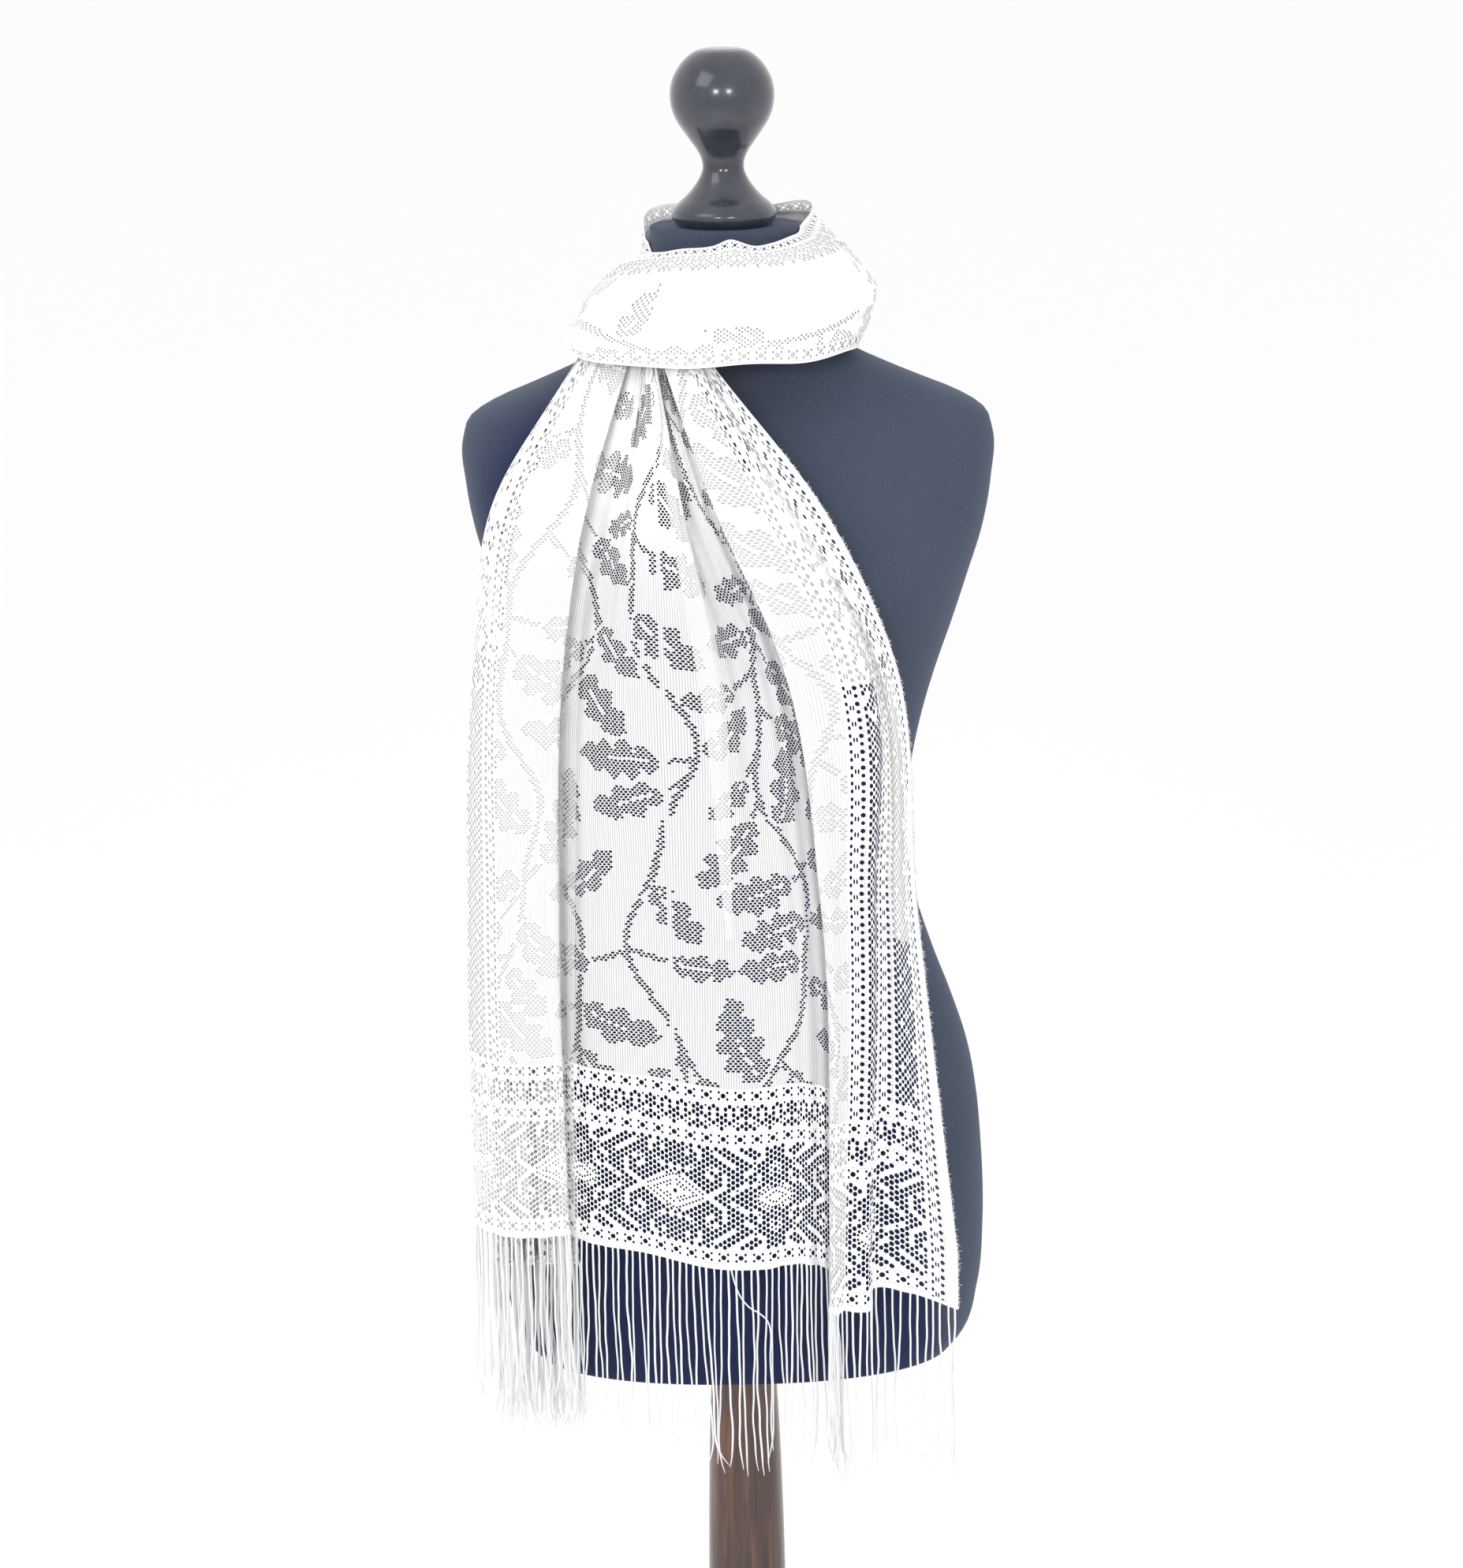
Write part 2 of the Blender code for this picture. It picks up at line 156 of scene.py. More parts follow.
# The front tail's folds, as in the solids: how far across the cloth, how far right of the middle at
# each level, how far in front of the hanging plane there, and the hem's height.
TAIL_TOP = 746.0
TOP_GATHER = 0.93
LEVELS = (726.0, 636.0, 536.0, 358.0, 100.0)
TAIL_FOLDS = (
    # across, right at each level,           forward at each level,  hem
    (0, (-81, -122, -143, -148, -148), (-12, -8, -6, -6, -6), 123),
    (46, (-102, -160, -176, -186, -186), (-4, -8, -8, -3, -1), 126),
    (78, (-95, -144, -160, -166, -166), (2, 4, 7, 8, 8), 121),
    (104, (-84, -121, -138, -145, -144), (6, 11, 13, 14, 14), 123),
    (130, (-68, -97, -114, -122, -120), (6, 16, 16, 18, 18), 128),
    (165, (-72, -104, -121, -127, -129), (-6, -8, -11, -13, -13), 124),
    (192, (-60, -82, -101, -108, -111), (-2, 0, 0, 1, 1), 118),
    (238, (-55, -62, -68, -66, -65), (4, 4, 3, 3, 4), 111),
    (292, (-47, -31, -12, -8, -10), (7, 12, 6, 1, -2), 97),
    (314, (-50, -35, -1, 13, 15), (-6, -6, -4, -3, -3), 96),
    (340, (-45, -21, 18, 38, 40), (-3, -4, -4, -2, 3), 101),
    (370, (-38, -5, 38, 63, 66), (-7, -9, -9, -9, -9), 86),
    (388, (-42, -10, 32, 58, 61), (5, 9, 9, 9, 9), 68),
    (414, (-25, 22, 68, 78, 73), (3, 4, 4, 1, 0), 65),
    (432, (-19, 35, 86, 93, 88), (5, 4, 5, 9, 10), 67),
    (450, (-16, 40, 92, 97, 91), (-5, -4, -6, -8, -8), 77),
    (475, (-12, 48, 99, 111, 115), (2, 2, 4, 6, 5), 77),
    (CLOTH_WIDTH, (-8, 61, 108, 124, 151), (-3, -3, -2, -3, -2), 59),
)
TAIL_HANG = (
    # height, forward, bow
    (50, 133, 7),
    (358, 135, 7),
    (500, 136, 8),
    (566, 136, 9),
    (636, 130, 13),
    (690, 117, 24),
    (726, 105, 48),
    (TAIL_TOP, 96, 46),
)
UNDER_PLEATS = 7
UNDER_BUNDLE = (
    # height, left side, right side, front of the pleats, back of the pleats
    (92, -174, -116, 101, 68),
    (250, -172, -116, 102, 68),
    (400, -166, -112, 100, 68),
    (500, -160, -108, 97, 70),
    (566, -152, -102, 92, 70),
    (636, -132, -86, 80, 62),
    (700, -92, -62, 62, 50),
    (738, -72, -50, 54, 42),
)
UNDER_LENGTH = 650.0

# The wrap: direction, then radius and height of its top edge, shoulder, belly and lower edge. At the knot
# the front stretch turns in, and the back one goes on under it.
WRAP_CENTRE = 1.5
SEAM = 82
SEAM_GAP = 0.3
WRAP_FRONT = (
    (SEAM, 52.5, 809, 80, 798, 105, 768, 92, 728),
    (60, 56, 806, 84, 796, 108, 766, 100, 729),
    (30, 58, 803, 87, 793, 110, 763, 107, 727),
    (5, 59, 804, 87, 792, 110, 762, 110, 728),
    (-20, 59, 801, 86, 790, 116, 759, 119, 727),
    (-40, 60, 798, 86, 787, 120, 753, 123, 728),
    (-60, 62, 795, 88, 782, 119, 748, 120, 730),
    (-72, 69, 789, 90, 776, 111, 746, 110, 732),
    (-80, 80, 780, 90, 770, 99, 748, 98, 736),
    (-88, 67, 785, 72, 775, 82, 753, 81, 740),
)
WRAP_BACK = (
    (SEAM, 52.5, 809, 80, 798, 105, 768, 92, 728),
    (110, 56, 812, 76, 799, 100, 768, 93, 730),
    (145, 58, 817, 71, 803, 91, 772, 89, 735),
    (180, 55, 818, 67, 802, 85, 772, 85, 737),
    (215, 55, 813, 63, 796, 82, 766, 84, 736),
    (250, 54.5, 806, 60, 788, 80, 760, 82, 735),
    (270, 54.2, 802, 61, 785, 77, 761, 78, 742),
    (284, 54.2, 800, 60, 785, 71, 766, 71, 752),
    (298, 54.0, 788, 57, 779, 64, 764, 64, 755),
)
WRAP_SAGS = 3.4
WRAP_LAYER = 1.6  # from the wrap's outer face in to its inner sheet
# Where its top edge stands up or opens out: direction, spread in degrees, and how much.
WRAP_CRESTS = ((3, 7, 2.6), (20, 8, -1.6))
WRAP_FLARES = ((226, 24, 1), (122, 18, 1))
FLARE_OUT, FLARE_UP = 13, 7

STRANDS = 112
STRAND_LENGTH = 142.0
STRAND_RADIUS = 0.7
STRAND_RINGS = 26
KNOTS_UP = 1.2  # the strands' knots, above the hem's edge
FRONT_LENGTHS = ((0, 150, 230, 290, 350, 400, 515), (0.88, 0.9, 0.97, 1.08, 1.08, 0.92, 0.9))
UNDER_LENGTHS = ((0, 515), (0.86, 0.9))
LOOSE_ROOT = 294.0  # across the cloth
HEM_CORD_RADIUS = 1.3
HEM_CORD_UP = 1.4
HAIR_RADIUS = 0.17
HAIRS = 900


def smooth_through(knots, rows, at):
    """Rows of numbers at rising knots, read at other places along a cubic that keeps the mean slopes."""
    knots = np.asarray(knots, float)
    rows = np.asarray(rows, float)
    at = np.clip(np.asarray(at, float), knots[0], knots[-1])
    slopes = np.gradient(rows, knots, axis=0)
    i = np.clip(np.searchsorted(knots, at, side="right") - 1, 0, len(knots) - 2)
    span = knots[i + 1] - knots[i]
    s = (at - knots[i]) / span
    for _ in range(rows.ndim - 1):
        span = span[..., None]
        s = s[..., None]
    start = (1 + 2 * s) * (1 - s) ** 2 * rows[i] + s * (1 - s) ** 2 * span * slopes[i]
    end = s**2 * (3 - 2 * s) * rows[i + 1] - s**2 * (1 - s) * span * slopes[i + 1]
    return start + end


def unit(vectors):
    """Vectors of the same directions, 1 long."""
    return vectors / (np.linalg.norm(vectors, axis=-1, keepdims=True) + 1e-9)


def smoothed(rows, count):
    """Each row averaged over a run of neighbours, with its ends held."""
    half = count // 2
    padded = np.pad(rows, ((0, 0), (half + 1, half)), mode="edge").cumsum(1)
    return (padded[:, count:] - padded[:, :-count]) / count


def mesh_piece(name, points, faces, material, uv=None):
    """A piece from points in millimetres and faces of equal corners, riding on the one body.

    uv holds two numbers for each point: millimetres across and along the cloth.
    """
    mesh = bpy.data.meshes.new(name)
    points = np.asarray(points, np.float32) * MM
    faces = np.asarray(faces, np.int32)
    corners = faces.shape[1]
    mesh.vertices.add(len(points))
    mesh.vertices.foreach_set("co", points.ravel())
    mesh.loops.add(faces.size)
    mesh.loops.foreach_set("vertex_index", faces.ravel())
    mesh.polygons.add(len(faces))
    mesh.polygons.foreach_set("loop_start", np.arange(0, faces.size, corners, dtype=np.int32))
    mesh.polygons.foreach_set("use_smooth", np.ones(len(faces), bool))
    if uv is not None:
        layer = mesh.uv_layers.new(name="cloth")
        per_corner = np.asarray(uv, np.float32)[faces.ravel()] * MM
        layer.data.foreach_set("uv", per_corner.ravel())
    mesh.update(calc_edges=True)
    mesh.validate()
    mesh.materials.append(material)
    piece = bpy.data.objects.new(name, mesh)
    bpy.context.scene.collection.objects.link(piece)
    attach(piece, "root")
    return piece


def ring_faces(rings, sides):
    """Quads between rings of points, each joined round."""
    ring = np.arange(rings - 1)[:, None]
    side = np.arange(sides)[None, :]
    after = (side + 1) % sides
    low = ring * sides
    high = low + sides
    return np.stack([low + side, high + side, high + after, low + after], -1).reshape(-1, 4)


# Materials


class Nodes:
    """A new material and short ways to add and join its nodes."""

    def __init__(self, name):
        """A material with the usual shader alone."""
        self.material = bpy.data.materials.new(name)
        self.material.use_nodes = True
        self.tree = self.material.node_tree
        self.shader = self.tree.nodes["Principled BSDF"]

    def add(self, kind, links=(), inputs=(), **settings):
        """A node with settings of its own, links from outputs to its inputs, and numbers in others."""
        node = self.tree.nodes.new(kind)
        for key, value in settings.items():
            setattr(node, key, value)
        for socket, start in dict(links).items():
            self.tree.links.new(start, node.inputs[socket])
        for socket, value in dict(inputs).items():
            node.inputs[socket].default_value = value
        return node

    def finish(self, colour, **numbers):
        """Sets the shader's colour and its other numbers, and gives the material."""
        if isinstance(colour, tuple):
            self.shader.inputs["Base Color"].default_value = colour
        else:
            self.tree.links.new(colour, self.shader.inputs["Base Color"])
        for key, value in numbers.items():
            self.shader.inputs[key.replace("_", " ")].default_value = value
        return self.material

    def math(self, operation, a, b=0.0):
        """One step of arithmetic on outputs or numbers."""
        node = self.tree.nodes.new("ShaderNodeMath")
        node.operation = operation
        for socket, value in zip(node.inputs, (a, b)):
            if isinstance(value, (int, float)):
                socket.default_value = value
            else:
                self.tree.links.new(value, socket)
        return node.outputs[0]

    def line(self, value, slope, offset):
        """A value times a slope, plus an offset."""
        return self.math("ADD", self.math("MULTIPLY", value, slope), offset)

    def blend(self, a, b, share):
        """A share of one value and the rest of another."""
        return self.math("ADD", self.math("MULTIPLY", a, share), self.math("MULTIPLY", b, 1 - share))

    def ramp(self, value, stops):
        """A colour that goes through stops of place and colour."""
        ramp = self.add("ShaderNodeValToRGB", links={0: value})
        while len(ramp.color_ramp.elements) < len(stops):
            ramp.color_ramp.elements.new(0.5)
        for element, (place, colour) in zip(ramp.color_ramp.elements, stops):
            element.position = place
            element.color = (*colour, 1)
        return ramp.outputs[0]

    def bump(self, height, strength, distance):
        """Relief from a height, in metres at most."""
        numbers = {"Strength": strength, "Distance": distance}
        relief = self.add("ShaderNodeBump", links={"Height": height}, inputs=numbers)
        self.tree.links.new(relief.outputs[0], self.shader.inputs["Normal"])

    def steps(self, value, first, last, low=0.0, high=1.0):
        """A smooth step from low to high as a value goes from first to last."""
        numbers = {"From Min": first, "From Max": last, "To Min": low, "To Max": high}
        step = self.add("ShaderNodeMapRange", {"Value": value}, numbers, interpolation_type="SMOOTHSTEP")
        return step.outputs[0]

    def noise(self, scale, detail=2.0, roughness=0.5, stretch=(1, 1, 1)):
        """Noise over the object's own places, drawn out along an axis whose share is under 1."""
        place = self.add("ShaderNodeTexCoord").outputs["Object"]
        if stretch != (1, 1, 1):
            place = self.add("ShaderNodeMapping", {"Vector": place}, {"Scale": stretch}).outputs[0]
        numbers = {"Scale": scale, "Detail": detail, "Roughness": roughness}
        return self.add("ShaderNodeTexNoise", {"Vector": place}, numbers).outputs[0]

    def split(self, vector):
        """The three parts of a vector."""
        return self.add("ShaderNodeSeparateXYZ", {0: vector}).outputs

    def cloth_places(self):
        """How far a point is across and along the cloth, in metres."""
        return self.split(self.add("ShaderNodeUVMap", uv_map="cloth").outputs[0])[:2]

    def wave(self, coordinate, period):
        """A sine of a coordinate in metres, from 0 to 1, with a period in millimetres."""
        angle = self.math("MULTIPLY", coordinate, 2 * math.pi / (period * MM))
        return self.line(self.math("SINE", angle), 0.5, 0.5)


def lace_material(name, sheer, shade=1.0):
    """White knitted yarn: ribs down the cloth, fine courses across it, and sheer lines between ribs.

    The lines close up where the knot gathers the cloth. Shade darkens the cloth of inner layers, where the
    layers above keep out the light.
    """
    nodes = Nodes(name)
    across, up = nodes.cloth_places()
    ribs = nodes.wave(across, RIB)
    knit = nodes.math("MULTIPLY", ribs, nodes.line(nodes.wave(up, COURSE), 0.35, 0.65))
    height = nodes.math("ADD", knit, nodes.math("MULTIPLY", nodes.noise(1400, 3), 0.5))
    nodes.bump(height, 0.35, 0.0003)
    # Painted shade in the grooves between ribs and courses: the colour follows the knit's relief, with uneven
    # tone from noise.
    tones = [(0.0, (0.86, 0.865, 0.88)), (0.45, (0.93, 0.93, 0.935)), (1.0, (0.96, 0.96, 0.955))]
    colour = nodes.ramp(height, [(stop, tuple(shade * part for part in tone)) for stop, tone in tones])
    if sheer:
        gap = nodes.math("MULTIPLY", nodes.math("SUBTRACT", 1.35, ribs), sheer)
        gathered = nodes.steps(up, 0.46, 0.6, 1.0, 0.12)
        solid = nodes.math("SUBTRACT", 1.0, nodes.math("MULTIPLY", gap, gathered))
        nodes.tree.links.new(solid, nodes.shader.inputs["Alpha"])
    return nodes.finish(
        colour, Roughness=0.85, Sheen_Weight=0.25, Sheen_Roughness=0.6, Specular_IOR_Level=0.2
    )


def yarn_material():
    """Loose white yarn, twisted: fine slanting plies and a soft sheen."""
    nodes = Nodes("twisted yarn")
    around, along = nodes.cloth_places()
    plies = nodes.wave(nodes.math("ADD", nodes.math("MULTIPLY", along, 1.4), around), PLY)
    nodes.bump(plies, 0.6, 0.0003)
    # Painted shade: the colour follows the plies, darker in the grooves between them.
    tones = [(0.0, (0.82, 0.83, 0.85)), (0.6, (0.93, 0.93, 0.93)), (1.0, (0.95, 0.95, 0.94))]
    return nodes.finish(nodes.ramp(plies, tones), Roughness=0.8, Sheen_Weight=0.25, Specular_IOR_Level=0.2)


def jersey_material():
    """Black stretch jersey, slate blue in the light: a very fine knit and a broad sheen. It has painted shade
    that makes it a deeper blue in front, where the shawl hangs before it."""
    nodes = Nodes("form jersey")
    knit = nodes.noise(900, 4, stretch=(1, 1, 0.35))
    nodes.bump(knit, 0.25, 0.0004)
    mixed = nodes.blend(knit, nodes.noise(9, 5), 0.6)
    colour = nodes.ramp(mixed, [(0.3, (0.042, 0.053, 0.082)), (0.7, (0.062, 0.076, 0.114))])
    # Painted shade: the colour turns towards deep blue in front, where the shawl hangs before the form.
    right, back, up = nodes.split(nodes.add("ShaderNodeTexCoord").outputs["Object"])
    low, high = (nodes.line(up, slope, offset) for slope, offset in SHAWL_SHADE_EDGES)
    inside = nodes.math("SUBTRACT", nodes.math("MINIMUM", low, high), right)
    shawl_shade_mask = nodes.math("MULTIPLY", nodes.steps(inside, 0, 0.03), nodes.steps(back, -0.02, -0.07))
    shade = nodes.ramp(shawl_shade_mask, [(0.0, (1, 1, 1)), (1.0, (0.2, 0.26, 0.6))])
    links = {6: colour, 7: shade}
    mix = nodes.add("ShaderNodeMix", links, {"Factor": 1}, data_type="RGBA", blend_type="MULTIPLY")
    return nodes.finish(
        mix.outputs[2],
        Roughness=0.9,
        Sheen_Weight=0.12,
        Sheen_Roughness=0.5,
        Sheen_Tint=(0.6, 0.66, 0.85, 1),
        Specular_IOR_Level=0.25,
    )


def lacquer_material():
    """Black lacquer over turned wood: glossy, with faint dust."""
    nodes = Nodes("black lacquer")
    dust = nodes.noise(60, 6)
    colour = nodes.ramp(dust, [(0.35, (0.020, 0.023, 0.034)), (0.75, (0.040, 0.044, 0.060))])
    nodes.tree.links.new(nodes.line(dust, 0.18, 0.14), nodes.shader.inputs["Roughness"])
    nodes.bump(dust, 0.08, 0.0005)
    return nodes.finish(colour, Coat_Weight=0.6, Coat_Roughness=0.12)


def wood_material():
    """Dark stained beech under varnish: long grain along the pole and small flecks."""
    nodes = Nodes("varnished wood")
    grain = nodes.noise(160, 6, 0.65, (1, 1, 0.06))
    mixed = nodes.blend(grain, nodes.noise(14), 0.65)
    tones = [(0.36, (0.014, 0.006, 0.005)), (0.5, (0.062, 0.022, 0.013)), (0.64, (0.165, 0.066, 0.034))]
    nodes.bump(grain, 0.12, 0.0006)
    return nodes.finish(nodes.ramp(mixed, tones), Roughness=0.3, Coat_Weight=0.5, Coat_Roughness=0.08)


def floor_material():
    """A matt pale floor."""
    return Nodes("pale floor").finish((0.93, 0.93, 0.925, 1), Roughness=0.9, Specular_IOR_Level=0.1)


# The form and its stand


def form_section(height):
    """Half width, front depth and back depth of the form at heights, along smooth curves."""
    table = np.array(FORM_SECTIONS, float)
    return np.moveaxis(smooth_through(table[:, 0], table[:, 1:], height), -1, 0)


def form_front(right, height):
    """How far the form's front stands out at places, and 0 beside it."""
    half, front, _ = form_section(height)
    share = np.clip(1 - np.abs(right / half) ** SECTION_POWER, 0, 1)
    return front * share ** (1 / SECTION_POWER)


def build_form(jersey):
    """Superellipse sections, |x/a|^n + |y/b|^n = 1, stacked on smooth curves; foot and neck are closed."""
    heights = np.concatenate([[0, 0, 2, 5], np.linspace(9, NECK_TOP - 2, 170), [NECK_TOP, NECK_TOP]])
    angles = np.linspace(0, 2 * math.pi, 129)[:-1]
    half, front, back = form_section(heights)
    across = np.sign(np.cos(angles)) * np.abs(np.cos(angles)) ** (2 / SECTION_POWER)
    deep = np.sign(np.sin(angles)) * np.abs(np.sin(angles)) ** (2 / SECTION_POWER)
    x = half[:, None] * across
    y = np.where(deep > 0, back[:, None], front[:, None]) * deep
    x[0] = y[0] = x[-1] = y[-1] = 0
    z = np.broadcast_to(heights[:, None] + FORM_FOOT, x.shape)
    points = np.stack([x, y, z], -1).reshape(-1, 3)
    faces = ring_faces(len(heights), len(angles))[:, ::-1]
    skin = mesh_piece("form_skin", points, faces, jersey)
    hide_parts("form_torso")


def turned(name, profile, foot, material, node, steps=96):
    """A profile turned about the pole's axis: radius (cos, sin) at each height, closed on the axis."""
    table = np.array(profile, float)
    run = np.concatenate([[0], np.cumsum(np.hypot(*np.diff(table, axis=0).T))])
    fine = smooth_through(run, table, np.linspace(0, run[-1], 140))
    fine[:, 0] = np.maximum(fine[:, 0], 0.1)
    ends = np.array([[0, fine[0, 1]]]), np.array([[0, fine[-1, 1]]])
    fine = np.concatenate([ends[0], fine, ends[1]])
    angles = np.linspace(0, 2 * math.pi, steps + 1)[:-1]
    x = fine[:, 0, None] * np.cos(angles)
    y = fine[:, 0, None] * np.sin(angles)
    z = np.broadcast_to(fine[:, 1, None] + foot, x.shape)
    points = np.stack([x, y, z], -1).reshape(-1, 3)
    faces = ring_faces(len(fine), steps)[:, ::-1]
    piece = mesh_piece(name, points, faces, material)
    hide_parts(node)


def build_stand(lacquer, wood):
    """The knob, the pole and the foot."""
    turned("turned_knob", KNOB_PROFILE, KNOB_FOOT, lacquer, "neck_knob")
    turned("turned_pole", POLE_PROFILE, POLE_FOOT, wood, "stand_pole")
    turned("turned_base", BASE_PROFILE, 0, wood, "stand_base", steps=144)


# The lace


def fine_gathers(right, forward, across, height):
    """How far the cloth waves to and fro where its path across is shorter than the cloth itself.

    A sine of depth wavelength / (2 pi) sqrt(2 (1 - spread^2)) takes up what is left over.
    """
    spread = np.hypot(np.gradient(right, axis=1), np.gradient(forward, axis=1)) / np.gradient(across)
    slack = smoothed(np.clip(1 - spread**2, 0, 1), 31)
    deep = 0.85 * GATHER / (2 * math.pi) * np.sqrt(2 * slack)
    return deep * np.sin(2 * math.pi * across / GATHER + 0.9 * np.sin(across / 37 + height / 160))


def tail_grid(across, down):
    """Places on the front tail, as a grid of rows down and columns across, and gathers fading downwards.

    The fold table gives the main creases, and slow sines keep the panels from hanging dead flat.
    """
    folds = np.array([row[0] for row in TAIL_FOLDS], float)
    hems = np.array([row[3] for row in TAIL_FOLDS], float)
    levels = np.array(LEVELS)[::-1]
    hang = np.array(TAIL_HANG, float)
    heights = TAIL_TOP + down[:, None] * (hems - TAIL_TOP)
    line = [
        smooth_through(levels, np.stack([row[1][::-1], row[2][::-1]], -1), heights[:, k])
        for k, row in enumerate(TAIL_FOLDS)
    ]
    line = np.concatenate([line, heights.T[..., None]], -1)  # folds, rows, (right, forward, height)
    steps = np.linspace(0, CLOTH_WIDTH, 1200)
    path = smooth_through(folds, line, steps)
    low_place = np.interp(across, DRAWN_ACROSS, DRAWN_LOW)
    high_place = np.interp(across, DRAWN_ACROSS, DRAWN_HIGH)
    share = np.clip((heights.mean(1) - DRAWN_FROM) / (DRAWN_FULLY - DRAWN_FROM), 0, 1)[None, :]
    at = (low_place[:, None] * (1 - share) + high_place[:, None] * share) / CLOTH_WIDTH * (len(steps) - 1)
    low = np.minimum(at.astype(int), len(steps) - 2)
    rows = np.arange(len(down))[None, :]
    path = path[low, rows] + (at - low)[..., None] * (path[low + 1, rows] - path[low, rows])
    right, forward, height = np.moveaxis(path, -1, 0)
    right, forward, height = right.T, forward.T, height.T
    right = right * np.interp(height, (LEVELS[0], TAIL_TOP), (1, TOP_GATHER))
    plane, bow = np.moveaxis(smooth_through(hang[:, 0], hang[:, 1:], height), -1, 0)
    forward = plane + forward - bow * (right / 100) ** 2
    forward = forward + fine_gathers(right, forward, across, height)
    slow = 1.1 * np.sin(across / 21 + height / 95) + 0.8 * np.sin(across / 34 - height / 61 + 2)
    forward = forward + slow * np.clip((700 - height) / 250, 0, 1)
    forward = np.maximum(forward, form_front(right, height) + TAIL_CLEAR)
    return np.stack([right, -forward, height + FORM_FOOT], -1)


def under_grid(across, down):
    """Places on the under tail: a zigzag of pleats between its bundle's two sides, a little uneven."""
    table = np.array(UNDER_BUNDLE, float)
    height = table[-1, 0] + down * (table[0, 0] - table[-1, 0])
    left, right_side, front, back = smooth_through(table[:, 0], table[:, 1:], height).T[..., None]
    share = across / CLOTH_WIDTH
    pleats = np.cos(share * 2 * math.pi * UNDER_PLEATS)
    pleats = pleats * (1.25 - 0.25 * pleats**2)
    drift = 0.012 * np.sin(share * 19 + down[:, None] * 3)
    right = left + (share + drift * np.sin(share * math.pi)) * (right_side - left)
    uneven = 1 - 0.12 * np.sin(share * 31 + 1) ** 2
    forward = (front + back) / 2 + pleats * uneven * (front - back) / 2
    heights = np.broadcast_to(height[:, None], right.shape)
    right = right + fine_gathers(right, forward, across, heights)
    forward = np.maximum(forward, form_front(right, heights) + UNDER_CLEAR)
    return np.stack([right, -forward, heights + FORM_FOOT], -1)


class Surface:
    """A cloth surface worked out once on a fine grid and read between its lines.

    across runs from the left selvedge, and up from the hem, both in millimetres of cloth.
    """

    def __init__(self, grid_function, width, length, step=1.3):
        """The grid's function takes shares of the length down, and places across."""
        self.function = grid_function
        self.width = width
        self.length = length
        self.columns = int(width / step) + 1
        self.rows = int(length / step) + 1
        across = np.linspace(0, width, self.columns)
        down = np.linspace(1, 0, self.rows)  # row 0 is the hem
        self.grid = grid_function(across, down)

    def at(self, across, up):
        """Straight-line reading between the four nearest grid points."""
        i = np.clip(across / self.width, 0, 1) * (self.columns - 1)
        j = np.clip(up / self.length, 0, 1) * (self.rows - 1)
        i0 = np.minimum(i.astype(int), self.columns - 2)
        j0 = np.minimum(j.astype(int), self.rows - 2)
        s = (i - i0)[..., None]
        t = (j - j0)[..., None]
        low = self.grid[j0, i0] * (1 - s) + self.grid[j0, i0 + 1] * s
        high = self.grid[j0 + 1, i0] * (1 - s) + self.grid[j0 + 1, i0 + 1] * s
        return low * (1 - t) + high * t


def staggered(left, right, low, high, pitch, row):
    """Places of a staggered lattice: rows a row height apart, every other one moved half a pitch."""
    across, up = np.meshgrid(np.arange(left, right, pitch), np.arange(low, high, row))
    across[1::2] += pitch / 2
    return across.ravel(), up.ravel()


def holes_at(across, up, half_width, half_height):
    """Rows of x, y, half width and half height."""
    across = np.asarray(across, float)
    return np.stack([across, up + 0 * across, half_width + 0 * across, half_height + 0 * across], -1)


def pierced(left, right, low, high, holes, step=5.0):
    """Flat cloth in a rectangle with its holes left open, as cloth places and triangles.

    A hole's rim is the six points (x - a sin t, y + b cos t), anticlockwise. Triangles of even shape join
    the rims, the points along the rectangle's edge and a staggered grid of points where no hole is near.
    """
    clear = 0.3
    inside = (holes[:, 0] - holes[:, 2] > left + clear) & (holes[:, 0] + holes[:, 2] < right - clear)
    inside &= (holes[:, 1] - holes[:, 3] > low + clear) & (holes[:, 1] + holes[:, 3] < high - clear)
    x, y, half_width, half_height = holes[inside].T[..., None]
    turn = np.radians(np.arange(6) * 60.0)
    rims = np.stack([x - half_width * np.sin(turn), y + half_height * np.cos(turn)], -1).reshape(-1, 2)
    across = np.linspace(left, right, round((right - left) / EDGE_STEP) + 1)
    up = np.linspace(low, high, round((high - low) / EDGE_STEP) + 1)
    edge = np.concatenate(
        [
            np.stack([across, 0 * across + low], -1),
            np.stack([across, 0 * across + high], -1),
            np.stack([0 * up[1:-1] + left, up[1:-1]], -1),
            np.stack([0 * up[1:-1] + right, up[1:-1]], -1),
        ]
    )
    taken = np.zeros((int(right - left) + 5, int(high - low) + 5), bool)
    for dx in (-1, 0, 1):
        for dy in (-1, 0, 1):
            for places in (rims, holes[inside, :2]):
                cell = (places - (left, low)).astype(int) + (1 + dx, 1 + dy)
                taken[cell[:, 0], cell[:, 1]] = True
    filler = np.stack(staggered(left + 2.2, right - 2.2, low + 2.2, high - 2.2, step, step * 0.87), -1)
    filler = filler[filler[:, 0] < right - 1.5]
    cell = (filler - (left, low)).astype(int) + 1
    filler = filler[~taken[cell[:, 0], cell[:, 1]]]
    points = np.concatenate([rims, edge, filler])
    rim_faces = np.arange(len(rims)).reshape(-1, 6)
    made = delaunay_2d_cdt([Vector(place) for place in points], [], rim_faces.tolist(), 0, 1e-4, True)
    # made[5] has the rims that each triangle fills. A triangle of cloth fills none.
    cloth = np.array([not rims_filled for rims_filled in made[5]])
    return np.array(made[0]), np.array(made[2])[cloth]


def joined(blocks):
    """Several blocks of cloth places and faces as one."""
    offset = np.cumsum([0] + [len(points) for points, _ in blocks[:-1]])
    return (
        np.concatenate([points for points, _ in blocks]),
        np.concatenate([faces + start for (_, faces), start in zip(blocks, offset)]),
    )


